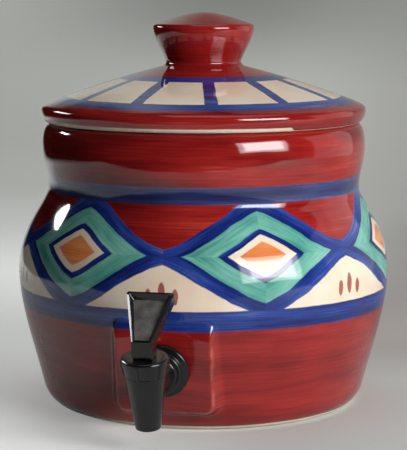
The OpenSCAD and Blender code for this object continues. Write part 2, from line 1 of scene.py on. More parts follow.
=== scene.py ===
# %% [markdown]
# # A painted drink crock with a lever tap
#
# The object is a glazed stoneware crock for about two gallons of a cold drink. A loose lid with a knob
# covers it, and a black self-closing tap sits on a flat pad near its foot. Its construction is already
# fixed, at its real size and in metres: the tap faces -Y, and the crock stands on z = 0 about the Z axis.
#
# This lesson gives every surface its finish. The parts of the construction are never moved. Where one
# needs a smoother form, a new piece is drawn in the same place and stands for it.

import json
import math

import bmesh
import bpy
import numpy as np
from mathutils import Matrix, Vector

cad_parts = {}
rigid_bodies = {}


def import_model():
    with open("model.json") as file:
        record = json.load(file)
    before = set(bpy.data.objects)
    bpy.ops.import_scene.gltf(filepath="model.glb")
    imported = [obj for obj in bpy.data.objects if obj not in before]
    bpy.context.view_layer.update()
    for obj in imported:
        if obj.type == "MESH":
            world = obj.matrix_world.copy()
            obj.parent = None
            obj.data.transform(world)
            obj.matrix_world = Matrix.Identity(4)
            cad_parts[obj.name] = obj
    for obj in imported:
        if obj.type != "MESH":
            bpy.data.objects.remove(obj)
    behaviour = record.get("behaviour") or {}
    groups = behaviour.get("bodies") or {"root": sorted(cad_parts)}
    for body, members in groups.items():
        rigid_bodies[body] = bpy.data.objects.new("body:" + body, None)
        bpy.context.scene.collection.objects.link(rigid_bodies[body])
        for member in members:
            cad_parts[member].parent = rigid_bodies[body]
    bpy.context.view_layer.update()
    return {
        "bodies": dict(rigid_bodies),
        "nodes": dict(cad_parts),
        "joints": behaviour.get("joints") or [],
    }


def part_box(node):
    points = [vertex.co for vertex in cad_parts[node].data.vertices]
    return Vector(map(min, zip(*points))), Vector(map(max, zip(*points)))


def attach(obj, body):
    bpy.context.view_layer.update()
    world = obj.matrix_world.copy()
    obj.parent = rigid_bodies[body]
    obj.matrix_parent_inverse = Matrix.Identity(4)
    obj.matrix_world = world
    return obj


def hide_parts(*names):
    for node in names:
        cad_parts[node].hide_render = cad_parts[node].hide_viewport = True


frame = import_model()
MM = 0.001
joints = {joint["name"]: joint for joint in frame["joints"]}
print("bodies:", ", ".join(frame["bodies"]))

# %% [markdown]
# ## Node trees in a few words
#
# Glazes and repeated forms are both built as node trees. Written out link by link, a tree hides its idea,
# so a small class adds one node per call and hands back the output that the next node needs. The same
# class serves materials and geometry, because both kinds of tree share their maths nodes.

# %% A short way to write node trees
class Nodes:
    """Adds nodes to a tree. Each call gives back an output of the node that it added."""

    def __init__(self, tree):
        self.tree = tree

    def add(self, kind, inputs=None, out=0, **settings):
        """A node with its inputs and settings; out picks its output, by place or by name."""
        node = self.tree.nodes.new(kind)
        for name, value in settings.items():
            setattr(node, name, value)
        for key, value in (inputs or {}).items():
            self.feed(node.inputs[key], value)
        return node.outputs[out]

    def feed(self, socket, value):
        """Links an output to an input, or sets the input to a plain value."""
        if isinstance(value, bpy.types.NodeSocket):
            self.tree.links.new(value, socket)
        else:
            socket.default_value = value

    def math(self, operation, a, b=0.0, c=0.0):
        return self.add("ShaderNodeMath", {0: a, 1: b, 2: c}, operation=operation)

    def total(self, first, *others):
        for other in others:
            first = self.math("ADD", first, other)
        return first

    def split(self, vector):
        return list(self.add("ShaderNodeSeparateXYZ", {0: vector}).node.outputs)

    def join(self, x, y, z):
        return self.add("ShaderNodeCombineXYZ", {0: x, 1: y, 2: z})

    def rise(self, value, low, high):
        """0 below low, 1 above high, and a soft climb between them."""
        ends = {"Value": value, "From Min": low, "From Max": high}
        return self.add("ShaderNodeMapRange", ends, interpolation_type="SMOOTHSTEP")

    def past(self, value, edge, soft=0.4):
        """0 before an edge and 1 past it, with a narrow soft change."""
        return self.rise(value, edge - soft, edge + soft)

    def noise(self, vector, scale, detail=2.0):
        return self.add("ShaderNodeTexNoise", {"Vector": vector, "Scale": scale, "Detail": detail})

    def mix(self, share, a, b):
        return self.add("ShaderNodeMix", {0: share, 6: a, 7: b}, out=2, data_type="RGBA")

    def ramp(self, value, *stops):
        """Colours along a value; each stop is its place and its colour."""
        node = self.tree.nodes.new("ShaderNodeValToRGB")
        marks = node.color_ramp.elements
        while len(marks) < len(stops):
            marks.new(0.5)
        for mark, (place, colour) in zip(marks, stops):
            mark.position = place
            mark.color = colour
        self.feed(node.inputs[0], value)
        return node.outputs[0]


print("node helpers:", ", ".join(name for name in vars(Nodes) if not name.startswith("_")))

# %% [markdown]
# ## The crock's profile
#
# A potter turns the crock on a wheel, so one profile makes all of it. Each stretch between two of its main
# lines is a cubic curve, drawn towards two guide points: foot, wall, shoulder, neck and rim on the outside,
# then the lip and the same curves again one wall's thickness in. A mesh could be pushed into this form by
# hand, but a profile keeps every size in view and can be measured.
#
# The sizes are those of the construction, in millimetres. A value whose name ends in pull says how far a
# guide point lies from the curve's end, as a share of the stretch.

# %% Curves for turned profiles
UP = np.array([0.0, 1.0])


def bend(a, b, c, d, steps):
    """Points from a to d on a cubic curve that is drawn towards b and c."""
    a, b, c, d = (np.array(p, dtype=float) for p in (a, b, c, d))
    t = np.linspace(0.0, 1.0, steps + 1)[:, None]
    return a * (1 - t) ** 3 + 3 * b * t * (1 - t) ** 2 + 3 * c * t ** 2 * (1 - t) + d * t ** 3


def arc(centre, radius, start, end, steps):
    """Points on a circle from one angle to another, in degrees."""
    a = np.radians(np.linspace(start, end, steps + 1))
    return np.array(centre) + radius * np.stack([np.cos(a), np.sin(a)], axis=1)


def line(a, b, steps):
    """Evenly spaced points on a straight line."""
    t = np.linspace(0.0, 1.0, steps + 1)[:, None]
    return np.array(a, dtype=float) * (1 - t) + np.array(b, dtype=float) * t


def inset(points, by):
    """The same run of points, moved to its left by a wall's thickness."""
    way = np.gradient(points, axis=0)
    way /= np.linalg.norm(way, axis=1)[:, None]
    return points + by * np.stack([-way[:, 1], way[:, 0]], axis=1)


def chain(*runs, apart=0.01):
    """One profile from several runs, without the points that two of them share."""
    points = np.concatenate([np.atleast_2d(run) for run in runs])
    steps = np.linalg.norm(np.diff(points, axis=0), axis=1)
    return points[np.concatenate([[True], steps > apart])]


def lengths(points):
    """The distance from a profile's start to each of its points."""
    return np.concatenate([[0.0], np.cumsum(np.linalg.norm(np.diff(points, axis=0), axis=1))])


quarter, exact = lengths(arc([0, 0], 10.0, 0, 90, 12))[-1], 5 * math.pi
print("a quarter circle of 10 mm radius:", round(quarter, 2), "mm in 12 steps,", round(exact, 2), "exactly")

# %% The crock's main lines
crock_low, crock_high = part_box("crock")
belly_r = (crock_high.x - crock_low.x) / 2 / MM
crock_h = crock_high.z / MM
belly_z, neck_z, collar_z = 95.0, 153.0, 183.0
neck_r, collar_r, rim_r, mouth_r = 111.25, 115.2, 108.0, 101.5
heel_r, heel_z, heel_lean = 115.5, 13.0, 14.0
foot_r, foot_w, foot_recess = 103.0, 10.0, 2.5
wall_t, floor_t, lip_t, lip_r = 7.0, 8.5, 6.5, 2.5

foot, heel, belly = np.array([foot_r, 0.0]), np.array([heel_r, heel_z]), np.array([belly_r, belly_z])
neck, collar, rim = np.array([neck_r, neck_z]), np.array([collar_r, collar_z]), np.array([rim_r, crock_h])
heel_way = np.array([math.tan(math.radians(heel_lean)), 1.0])
wall_run, shoulder_run = belly_z - heel_z, neck_z - belly_z
collar_run, rim_run = collar_z - neck_z, crock_h - collar_z
print("crock:", round(2 * belly_r, 1), "mm wide and", round(crock_h, 1), "mm high without its lid")

# %% Draw the crock's outside
foot_pull, heel_pull, wall_pull, belly_pull = 0.52, 0.46, 0.366, 0.305
shoulder_pull, neck_pull, collar_pull, rim_pull, edge_pull = 0.517, 0.155, 0.4, 0.576, 0.694

foot_curve = bend(
    foot, foot + [(heel_r - foot_r) * foot_pull, 0], heel - heel_way * heel_z * heel_pull, heel, 12
)
wall_curve = bend(
    heel, heel + heel_way * wall_run * wall_pull, belly - UP * wall_run * belly_pull, belly, 80
)
shoulder_curve = bend(
    belly, belly + UP * shoulder_run * shoulder_pull, neck - UP * shoulder_run * neck_pull, neck, 46
)
neck_curve = bend(
    neck, neck + UP * collar_run * collar_pull, collar - UP * collar_run * collar_pull, collar, 22
)
rim_curve = bend(
    collar, collar + UP * rim_run * rim_pull, rim + [(collar_r - rim_r) * edge_pull, 0], rim, 20
)
outside = chain(foot_curve, wall_curve, shoulder_curve, neck_curve, rim_curve)
rim_along = float(lengths(outside)[-1])
print("outside:", len(outside), "points,", round(rim_along), "mm from foot to rim along the clay")

# %% Draw the crock's inside and close the profile
floor_from, floor_bend, floor_pull, lip_pull = 0.86, 0.95, 0.6, 0.6
wall_in = inset(wall_curve, wall_t)
floor_edge = wall_in[0]
floor_turn = floor_edge - heel_way * (floor_edge[1] - floor_t) * floor_pull
floor_curve = bend(
    [floor_edge[0] * floor_from, floor_t], [floor_edge[0] * floor_bend, floor_t], floor_turn, floor_edge, 10
)
collar_in = collar - [wall_t, 0]
lip = np.array([mouth_r + lip_r, crock_h - lip_t])
lip_start = collar_in + UP * (lip[1] - collar_z) * lip_pull
lip_curve = chain(
    bend(collar_in, lip_start, lip + [(collar_in[0] - lip[0]) * lip_pull, 0], lip, 8),
    arc(lip + UP * lip_r, lip_r, 270, 180, 4),
    arc([lip[0], crock_h - lip_r], lip_r, 180, 90, 4),
)
inside = chain(
    floor_curve, wall_in[::2], inset(shoulder_curve, wall_t)[::2], inset(neck_curve, wall_t)[::2], lip_curve
)
foot_in = foot_r - foot_w
underside = chain(
    line([0, foot_recess], [foot_in - foot_recess, foot_recess], 6),
    [foot_in, 0],
    line([foot_in, 0], foot, 3),
)
floor_line = line([floor_curve[0][0], floor_t], [0, floor_t], 8)
crock_profile = chain(underside, outside, inside[::-1], floor_line)
crock_along = lengths(crock_profile) - lengths(underside)[-1]
print("crock profile:", len(crock_profile), "points,", round(lengths(crock_profile)[-1]), "mm long")

# %% [markdown]
# ## One tree turns every profile
#
# Geometry Nodes can act as the wheel. The tree takes the profile's points as rows and lays them out on a
# grid, then swings each column of the grid round the axis. Two inputs crowd the columns towards the front,
# where the tap's pad needs fine faces, and leave them wide at the back.
#
# The tree also carries along the distance from the foot, measured up the profile. The glaze needs it later:
# brush strokes keep their width on a flat lid and on a steep wall only if they are measured along the clay.

# %% Start and end a geometry tree
def new_tree(name, sockets):
    """An empty geometry tree with a mesh in, a mesh out and the named inputs."""
    tree = bpy.data.node_groups.new(name, "GeometryNodeTree")
    tree.interface.new_socket("Geometry", in_out="INPUT", socket_type="NodeSocketGeometry")
    for socket_name, kind in sockets:
        tree.interface.new_socket(socket_name, in_out="INPUT", socket_type="NodeSocket" + kind)
    tree.interface.new_socket("Geometry", in_out="OUTPUT", socket_type="NodeSocketGeometry")
    return tree, Nodes(tree), tree.nodes.new("NodeGroupInput").outputs


def end_tree(nodes, geometry, material):
    """Realizes instances, sets the material and ends the tree."""
    whole = nodes.add("GeometryNodeRealizeInstances", {0: geometry})
    dressed = nodes.add("GeometryNodeSetMaterial", {"Geometry": whole, "Material": material})
    nodes.tree.links.new(dressed, nodes.tree.nodes.new("NodeGroupOutput").inputs[0])


print("every tree ends in one mesh, without instances and with its material")

# %% Geometry Nodes tree: a turned form
seam_gap = 0.002


def turned_tree():
    """Swings a profile round the Z axis, and merges the seam at the back and the points on the axis."""
    sockets = [
        ("Columns", "Int"), ("Front Share", "Float"), ("Front Angle", "Float"), ("Material", "Material")
    ]
    tree, n, given = new_tree("turned form", sockets)
    profile, columns, share, front, material = (given[i] for i in range(5))
    rows = n.add("GeometryNodeAttributeDomainSize", {0: profile}, component="MESH")
    corners = n.math("ADD", columns, 1)
    grid = n.add("GeometryNodeMeshGrid", {"Vertices X": corners, "Vertices Y": rows})
    across, upward, _ = n.split(n.add("GeometryNodeInputPosition"))

    row = n.math("ROUND", n.math("MULTIPLY", n.math("ADD", upward, 0.5), n.math("SUBTRACT", rows, 1)))
    along = n.add("GeometryNodeInputNamedAttribute", {"Name": "along"}, data_type="FLOAT")
    place = n.add(
        "GeometryNodeSampleIndex",
        {"Geometry": profile, "Value": n.add("GeometryNodeInputPosition"), "Index": row},
        data_type="FLOAT_VECTOR",
    )
    distance = n.add("GeometryNodeSampleIndex", {"Geometry": profile, "Value": along, "Index": row})

    side = n.math("MULTIPLY", across, 2)
    reach = n.math("ABSOLUTE", side)
    front_rate = n.math("DIVIDE", front, share)
    rear_rate = n.math("DIVIDE", n.math("SUBTRACT", math.pi, front), n.math("SUBTRACT", 1, share))
    beyond = n.math("MAXIMUM", n.math("SUBTRACT", reach, share))
    angle = n.math("ADD", n.math("MULTIPLY", n.math("SUBTRACT", reach, beyond), front_rate),
                   n.math("MULTIPLY", beyond, rear_rate))
    angle = n.math("MULTIPLY", angle, n.math("SIGN", side))

    radius, _, height = n.split(place)
    x = n.math("MULTIPLY", radius, n.math("SINE", angle))
    y = n.math("MULTIPLY", radius, n.math("COSINE", angle))
    swung = n.join(x, n.math("MULTIPLY", y, -1), height)
    kept = {"Geometry": grid, "Name": "along", "Value": distance}
    measured = n.add("GeometryNodeStoreNamedAttribute", kept, data_type="FLOAT", domain="POINT")
    moved = n.add("GeometryNodeSetPosition", {"Geometry": measured, "Position": swung})
    closed = n.add("GeometryNodeMergeByDistance", {"Geometry": moved, "Distance": seam_gap * MM})
    end_tree(n, closed, material)
    return tree


turned_form = turned_tree()
print("tree:", turned_form.name, "with", len(turned_form.nodes), "nodes")

# %% Run a tree and keep a plain mesh
def new_object(name, data):
    """An object in the scene, at the origin."""
    obj = bpy.data.objects.new(name, data)
    bpy.context.scene.collection.objects.link(obj)
    return obj


def applied(obj):
    """Turns what an object's modifiers make into its own plain mesh, and takes them off."""
    bpy.context.view_layer.update()
    graph = bpy.context.evaluated_depsgraph_get()
    made = bpy.data.meshes.new_from_object(
        obj.evaluated_get(graph), preserve_all_data_layers=True, depsgraph=graph
    )
    before = obj.data
    obj.modifiers.clear()
    obj.data = made
    made.name = obj.name
    bpy.data.meshes.remove(before)
    return obj


def run_tree(obj, tree, **values):
    """Puts a tree on an object, sets its inputs by name and keeps the result."""
    modifier = obj.modifiers.new(tree.name, "NODES")
    modifier.node_group = tree
    for item in tree.interface.items_tree:
        key = item.name.lower().replace(" ", "_")
        if item.in_out == "INPUT" and key in values:
            modifier[item.identifier] = values[key]
    return applied(obj)


tree_inputs = [item.name for item in turned_form.interface.items_tree if item.in_out == "INPUT"]
print("inputs of a turned form:", ", ".join(tree_inputs))

# %% Turn a profile and measure the mesh
def turned(name, profile, material, columns=96, along=None, front_share=0.5, front_angle=math.pi / 2):
    """A form turned from a profile given in millimetres."""
    mesh = bpy.data.meshes.new(name)
    mesh.from_pydata([(r * MM, 0.0, z * MM) for r, z in profile], [], [])
    mesh.attributes.new("along", "FLOAT", "POINT")
    distance = lengths(profile) if along is None else along
    mesh.attributes["along"].data.foreach_set("value", np.array(distance, dtype=np.float32) * MM)
    obj = new_object(name, mesh)
    run_tree(
        obj, turned_form, columns=columns, front_share=front_share, front_angle=front_angle,
        material=material,
    )
    obj.data.shade_smooth()
    return obj


def faults(mesh):
    """Counts the edges that aren't shared by two faces, and measures the volume in litres."""
    checked = bmesh.new()
    checked.from_mesh(mesh)
    loose = sum(not edge.is_manifold for edge in checked.edges)
    litres = checked.calc_volume(signed=True) * 1000
    checked.free()
    return loose, litres


print("a sound mesh has no open edge, and its volume is above zero when its faces point outwards")

# %% [markdown]
# ## Underglaze colours
#
# The decorator brushes thin colours onto the clay while it turns, and a clear glaze is fired over them.
# Three things make such a surface: every colour runs from thin and pale to thick and dark along the brush
# stroke, the edges wander a little, and one smooth glossy skin covers it all.
#
# So each colour below is a ramp from thin to thick paint, read at an uneven brush value. That value adds
# broad laps, hair-fine streaks and soft clouds of noise. The first two are stretched round the pot.

# %% Colours from thin to thick paint
def tint(red, green, blue):
    """A colour as the eye reads it, 0 to 255, turned into the linear values that shaders use."""
    shares = [v / 255 for v in (red, green, blue)]
    linear = [v / 12.92 if v <= 0.04045 else ((v + 0.055) / 1.055) ** 2.4 for v in shares]
    return (*linear, 1.0)


def shades(*stops):
    """The stops of a ramp; each is its place, then its red, green and blue as the eye reads them."""
    return [(place, tint(*colour)) for place, *colour in stops]


BURGUNDY = shades((0.28, 194, 72, 60), (0.42, 164, 38, 35), (0.56, 134, 24, 24), (0.72, 80, 11, 14))
BLUE = shades((0.24, 118, 134, 192), (0.42, 46, 72, 154), (0.56, 26, 44, 120), (0.74, 12, 18, 66))
NAVY = shades((0.24, 104, 112, 150), (0.42, 54, 66, 120), (0.56, 40, 46, 92), (0.74, 22, 24, 54))
TEAL = shades((0.26, 176, 220, 204), (0.44, 126, 194, 176), (0.58, 84, 162, 148), (0.76, 30, 102, 98))
CREAM = shades((0.25, 252, 244, 226), (0.50, 248, 228, 204), (0.75, 240, 208, 180))
ORANGE = shades((0.25, 250, 176, 116), (0.55, 238, 138, 78), (0.80, 206, 92, 46))
CLAY = shades((0.25, 252, 243, 228), (0.75, 238, 221, 196))
print("thin burgundy in linear values:", [round(v, 3) for v in BURGUNDY[0][1]])

# %% Places on the clay
class Places(Nodes):
    """A material, with the places on the pot that its colours are laid out by."""

    def __init__(self, name):
        self.material = bpy.data.materials.new(name)
        self.material.use_nodes = True
        super().__init__(self.material.node_tree)
        self.shader = self.tree.nodes["Principled BSDF"]
        self.place = self.add("ShaderNodeTexCoord", out="Object")
        self.x, self.y, self.z = self.split(self.place)
        self.z_mm = self.math("DIVIDE", self.z, MM)
        squares = self.total(self.math("MULTIPLY", self.x, self.x), self.math("MULTIPLY", self.y, self.y))
        self.r_mm = self.math("DIVIDE", self.math("SQRT", squares), MM)
        self.turn = self.math("ARCTAN2", self.x, self.math("MULTIPLY", self.y, -1))
        self.along = self.add("ShaderNodeAttribute", out="Fac", attribute_name="along")
        self.along_mm = self.math("DIVIDE", self.along, MM)


print("places: height, distance from the axis, angle from the tap and distance along the clay")

# %% Brush marks
class Brush(Places):
    """Marks of a brush, as noise that is stretched along its strokes."""

    def stroke(self, round_scale, across_scale, offset, detail=2.0):
        """Noise stretched round the pot: long one way, narrow across the stroke."""
        across = self.math("MULTIPLY_ADD", self.along, across_scale, offset)
        round_x = self.math("MULTIPLY", self.x, round_scale)
        round_y = self.math("MULTIPLY", self.y, round_scale)
        return self.noise(self.join(round_x, round_y, across), 1.0, detail)

    def brushed(self, offset, laps=85.0, hairs=950.0):
        """How thick the paint lies: broad laps, hair-fine streaks and soft clouds together."""
        lap = self.math("MULTIPLY", self.stroke(10.0, laps, offset), 0.50)
        hair = self.math("MULTIPLY", self.stroke(30.0, hairs, offset, 3.0), 0.32)
        cloud = self.math("MULTIPLY", self.noise(self.place, 26.0, 3.0), 0.18)
        return self.total(lap, hair, cloud)

    def lay(self, length, across, seed, lap=7.0, hair=1.2):
        """How thick the paint lies along a free stroke, from millimetres along it and across it."""
        broad = self.join(self.math("DIVIDE", length, 60.0), self.math("DIVIDE", across, lap), seed)
        fine = self.join(self.math("DIVIDE", length, 40.0), self.math("DIVIDE", across, hair), seed)
        broad = self.math("MULTIPLY", self.noise(broad, 1.0), 0.45)
        fine = self.math("MULTIPLY", self.noise(fine, 1.0, 3.0), 0.30)
        cloud = self.math("MULTIPLY", self.noise(self.place, 34.0, 3.0), 0.25)
        return self.total(broad, fine, cloud)

    def dab(self, off, height, middle, half_w, half_h):
        """A short brush mark with a ragged edge: 1 on it, 0 beside it."""
        x = self.math("DIVIDE", off, half_w)
        y = self.math("DIVIDE", self.math("SUBTRACT", height, middle), half_h)
        reach = self.math("SQRT", self.math("MULTIPLY_ADD", x, x, self.math("MULTIPLY", y, y)))
        ragged = self.math("MULTIPLY_ADD", self.noise(self.place, 160.0), 0.5, reach)
        return self.math("SUBTRACT", 1, self.rise(ragged, 1.05, 1.25))

    def wander(self, size_mm, scale=24.0):
        """The wavering of a hand-drawn edge, in millimetres."""
        broad = self.math("MULTIPLY", self.math("SUBTRACT", self.noise(self.place, scale), 0.5), size_mm)
        fine = self.math("SUBTRACT", self.noise(self.place, scale * 6), 0.5)
        return self.math("MULTIPLY_ADD", fine, size_mm * 0.35, broad)

    def band(self, value, low, high, soft=0.45):
        """1 between two limits and 0 outside them, with narrow soft edges."""
        return self.math("SUBTRACT", self.past(value, low, soft), self.past(value, high, soft))


print("brush marks: strokes round the pot, free strokes, dabs and wandering edges")

# %% The clear glaze
class Clay(Brush):
    """A painted surface under a clear gloss, which is left off where the clay is bare."""

    def glaze(self, colour, bare, gloss=0.07):
        """Feeds the colours, an uneven gloss and a slow swell to the shader."""
        uneven = self.math("MULTIPLY_ADD", self.noise(self.place, 60.0), 0.05, gloss - 0.02)
        dull = self.math("MULTIPLY_ADD", bare, 0.72, uneven)
        swell = self.noise(self.place, 42.0, 1.0)
        ridges = self.math("MULTIPLY_ADD", self.stroke(7.0, 420.0, 3.7), 0.05, swell)
        bump = self.add("ShaderNodeBump", {"Strength": 0.35, "Distance": 0.0012, "Height": ridges})
        self.feed(self.shader.inputs["Base Color"], colour)
        self.feed(self.shader.inputs["Roughness"], dull)
        self.feed(self.shader.inputs["Normal"], bump)
        self.shader.inputs["IOR"].default_value = 1.58
        return self.material


print("glaze: a glossy skin with a slow swell and faint turning ridges")

# %% [markdown]
# ## The crock's painted zones
#
# From the table up: a bare foot, a deep burgundy wall, a blue stripe, a patterned zone on the belly and the
# shoulder, a second blue stripe and a burgundy collar. The inside has a cream glaze, and the rim is bare
# where the lid sits. Left of the tap, on the pot's shaded side, the burgundy of the collar and of the frieze
# is darkened as painted shade. An image could be wrapped round the pot for all this. Maths nodes stay
# sharp at any distance, and each band keeps its size in millimetres, so they are used instead.
#
# The patterned zone holds a plain frieze of six lozenges with bowed sides. Two numbers lay it out: how far
# round a point lies from the middle of its lozenge, and how far up or down. From them comes the distance
# inside the nearest edge. Bands of that distance give the blue outline, the teal border, an inner line and
# a cream middle with an orange dab. The same distance also steers the brush, so that its strokes follow
# each edge.

# %% Lay out the painted zones
def along_at(height_mm):
    """How far up the outside a height lies, measured along the clay."""
    return float(np.interp(height_mm, outside[:, 1], lengths(outside)))


foot_line, stripe_low, frieze_low, frieze_high, collar_low = 3.2, 71.6, 85.0, 152.6, 164.0
frieze_from, frieze_to = along_at(frieze_low), along_at(frieze_high)
frieze_mid, frieze_half = (frieze_from + frieze_to) / 2, (frieze_to - frieze_from) / 2
lozenges, bow = 6, 0.5
lozenge_half = math.pi * belly_r / lozenges
outline_half, teal_to, middle_from, dab_from = 4.6, 16.5, 20.5, 25.0
print("frieze:", lozenges, "lozenges,", round(2 * lozenge_half), "by", round(2 * frieze_half), "mm")

# %% The frieze of lozenges
def frieze(c, red, cream):
    """The colour of the patterned zone."""
    count = c.math("MULTIPLY", c.turn, lozenges / math.tau)
    across = c.math("SUBTRACT", c.math("FRACT", count), 0.5)
    sideways = c.math("MULTIPLY", c.math("ABSOLUTE", across), 2)
    upward = c.math("DIVIDE", c.math("SUBTRACT", c.along_mm, frieze_mid), frieze_half)
    height = c.math("ABSOLUTE", upward)

    swing = c.math("MULTIPLY", sideways, math.pi)
    bowed = c.math("MULTIPLY_ADD", c.math("COSINE", swing), bow / 2, bow / 2)
    side = c.math("MULTIPLY_ADD", c.math("SUBTRACT", 1, sideways), 1 - bow, bowed)
    steep = c.math("MULTIPLY_ADD", c.math("SINE", swing), bow * math.pi / 2, 1 - bow)
    steep = c.math("MULTIPLY", steep, frieze_half / lozenge_half)
    slant = c.math("SQRT", c.math("MULTIPLY_ADD", steep, steep, 1))
    gap = c.math("MULTIPLY", c.math("SUBTRACT", side, height), frieze_half)
    into = c.math("ADD", c.math("DIVIDE", gap, slant), c.wander(5.0, 15.0))

    length = c.math("MULTIPLY_ADD", sideways, lozenge_half, c.math("MULTIPLY", height, -frieze_half))
    seed = c.math("MULTIPLY_ADD", c.math("SIGN", across), 2.3, c.math("FLOOR", count))
    seed = c.math("MULTIPLY_ADD", c.math("SIGN", upward), 5.7, seed)
    deep = c.math("MULTIPLY", c.math("MINIMUM", into, outline_half), 0.016)
    blue = c.ramp(c.math("ADD", deep, c.lay(length, into, seed, 4.5)), *BLUE)
    teal = c.ramp(c.lay(length, into, seed, 9.0, 1.6), *TEAL)
    orange = c.ramp(c.brushed(16.0, laps=120.0), *ORANGE)

    wide = c.math("MULTIPLY_ADD", c.math("SUBTRACT", c.noise(c.place, 17.0), 0.5), 5.0, outline_half)
    field = c.mix(c.past(upward, 0.0, 0.05), cream, red)
    off_mid = c.math("MULTIPLY", c.math("SUBTRACT", 1, sideways), lozenge_half)
    up_mm = c.math("SUBTRACT", c.along_mm, frieze_from)
    marks = c.math("MAXIMUM", c.dab(off_mid, up_mm, 12.0, 2.6, 8.0),
                   c.dab(c.math("SUBTRACT", off_mid, 9.0), up_mm, 9.5, 2.4, 6.0))
    field = c.mix(c.math("MULTIPLY", marks, 0.85), field, red)
    field = c.mix(c.past(into, 0.0), field, teal)
    field = c.mix(c.past(c.math("SUBTRACT", wide, c.math("ABSOLUTE", into)), 0.0, 0.5), field, blue)
    field = c.mix(c.band(into, teal_to, middle_from), field, blue)
    field = c.mix(c.past(into, middle_from), field, cream)
    return c.mix(c.past(into, dab_from, 0.5), field, orange)


print("bands inside a lozenge's edge, in mm:", outline_half, teal_to, middle_from, dab_from)

# %% Material: the crock's glaze
# Painted shade: the burgundy of the collar and the frieze is darkened left of the tap, on the pot's shaded
# side.
shade_turn, shade_near, shade_far, shade_depth = 0.62, 0.1, 0.95, 0.14
stroke_w, stroke_depth = 14, 0.05
thin_glaze_and_highlight = tint(206, 120, 104)
rim_bare_in, rim_bare_out = 0.3, 5.0


def crock_glaze():
    """The whole crock's paint and glaze, from the foot to the floor inside."""
    c = Clay("crock_glaze")
    level = c.total(c.z_mm, c.wander(1.6))
    thick = c.brushed(0.0, laps=60.0)
    red = c.ramp(thick, *BURGUNDY)
    # Painted shade: the collar's burgundy is darker left of the tap.
    from_shade_middle = c.math("ABSOLUTE", c.math("ADD", c.turn, shade_turn))
    clear_of_shade = c.math("MULTIPLY", c.rise(from_shade_middle, shade_near, shade_far), shade_depth)
    painted_shade = c.math("SUBTRACT", shade_depth, clear_of_shade)
    collar_red = c.ramp(c.total(thick, painted_shade), *BURGUNDY)
    waves = c.math("SINE", c.math("MULTIPLY", level, math.tau / stroke_w))
    brush = c.total(c.brushed(4.0, laps=150.0), c.math("MULTIPLY", waves, stroke_depth))
    blue = c.ramp(brush, *BLUE)
    dark_blue = c.ramp(brush, *NAVY)
    # The frieze's burgundy carries the same painted shade left of the tap.
    bright = c.ramp(c.total(c.brushed(9.0, laps=70.0), painted_shade, -0.06), *BURGUNDY)
    cream = c.ramp(c.noise(c.place, 24.0, 3.0), *CREAM)

    colour = c.mix(c.past(level, stripe_low), red, blue)
    colour = c.mix(c.past(level, frieze_low), colour, frieze(c, bright, cream))
    colour = c.mix(c.past(level, frieze_high), colour, dark_blue)
    colour = c.mix(c.past(level, collar_low), colour, collar_red)
    # Pale paint along the pad's edges: part thin glaze over a raised edge, part painted highlight.
    glaze_and_highlight_share = c.math("MULTIPLY_ADD", c.rise(c.noise(c.place, 75.0), 0.44, 0.62), 0.45, 0.12)
    thin = c.add("ShaderNodeAttribute", out="Fac", attribute_name="thin")
    colour = c.mix(c.math("MULTIPLY", thin, glaze_and_highlight_share), colour, thin_glaze_and_highlight)
    colour = c.mix(c.past(c.along_mm, rim_along, 0.5), colour, cream)
    up_from_foot = c.total(c.along_mm, c.wander(1.4))
    foot_bare = c.math("SUBTRACT", 1, c.past(up_from_foot, along_at(foot_line)))
    rim_bare = c.band(c.along_mm, rim_along - rim_bare_in, rim_along + rim_bare_out)
    bare = c.math("MAXIMUM", foot_bare, rim_bare)
    colour = c.mix(bare, colour, c.ramp(c.noise(c.place, 90.0, 3.0), *CLAY))
    return c.glaze(colour, bare)


glaze = crock_glaze()
print("crock glaze:", len(glaze.node_tree.nodes), "nodes")

# %% [markdown]
# ## Raising the tap's pad
#
# While the clay is soft, a flat pad is pressed out of the wall for the tap. Its sides run out into the wall,
# its top melts into the belly, and the glaze softens every edge. A boolean would leave hard creases there,
# so the pad is raised from the turned mesh instead: each point near the tap moves out to whichever lies
# further out, the wall or the pad, and a smooth maximum rounds the line where they meet. Towards the top
# that move fades away.
#
# Glaze runs off a raised edge, and the paint shows pale there; that pale line along the pad's edges is
# partly thin glaze and partly a painted highlight. The mesh keeps an attribute that marks those edges for
# the glaze's material.
#
# The tap's own frame comes from the construction's joints: the valve slides along the spout's axis, and the
# lever's pin marks a known height on it.

# %% The tap's frame
spout_up = Vector(joints["valve_lift"]["axis"]).normalized()
pivot = Vector(joints["lever_tilt"]["pos_m"])
tap_tilt = math.atan2(-spout_up.y, spout_up.z)
pin_height, tap_reach = 31.2, 46.5
tap_turn = Matrix.Rotation(tap_tilt, 4, "X")
spout_frame = Matrix.Translation(pivot - spout_up * pin_height * MM) @ tap_turn
tap_frame = spout_frame @ Matrix.Translation((0, tap_reach * MM, 0))
lever_frame = Matrix.Translation(pivot) @ tap_turn
along_tap = tap_frame @ Matrix.Rotation(math.radians(90), 4, "X")
print("the tap tips forward by", round(math.degrees(tap_tilt), 1), "degrees")

# %% Soft shapes as numbers
def soft_max(a, b, width):
    """The larger of two values, with a rounded change from one to the other."""
    near = np.maximum(width - np.abs(a - b), 0.0) / width
    return np.maximum(a, b) + near ** 2 * width / 4


def rounded_square(x, y, half_w, half_h, corner):
    """Distance outside a rounded rectangle; negative inside it."""
    over_x, over_y = np.abs(x) - half_w + corner, np.abs(y) - half_h + corner
    outer = np.hypot(np.maximum(over_x, 0), np.maximum(over_y, 0))
    return outer + np.minimum(np.maximum(over_x, over_y), 0) - corner


def points_of(mesh):
    """A mesh's points as rows of an array."""
    flat = np.empty(len(mesh.vertices) * 3, dtype=np.float32)
    mesh.vertices.foreach_get("co", flat)
    return flat.reshape(-1, 3).astype(float)


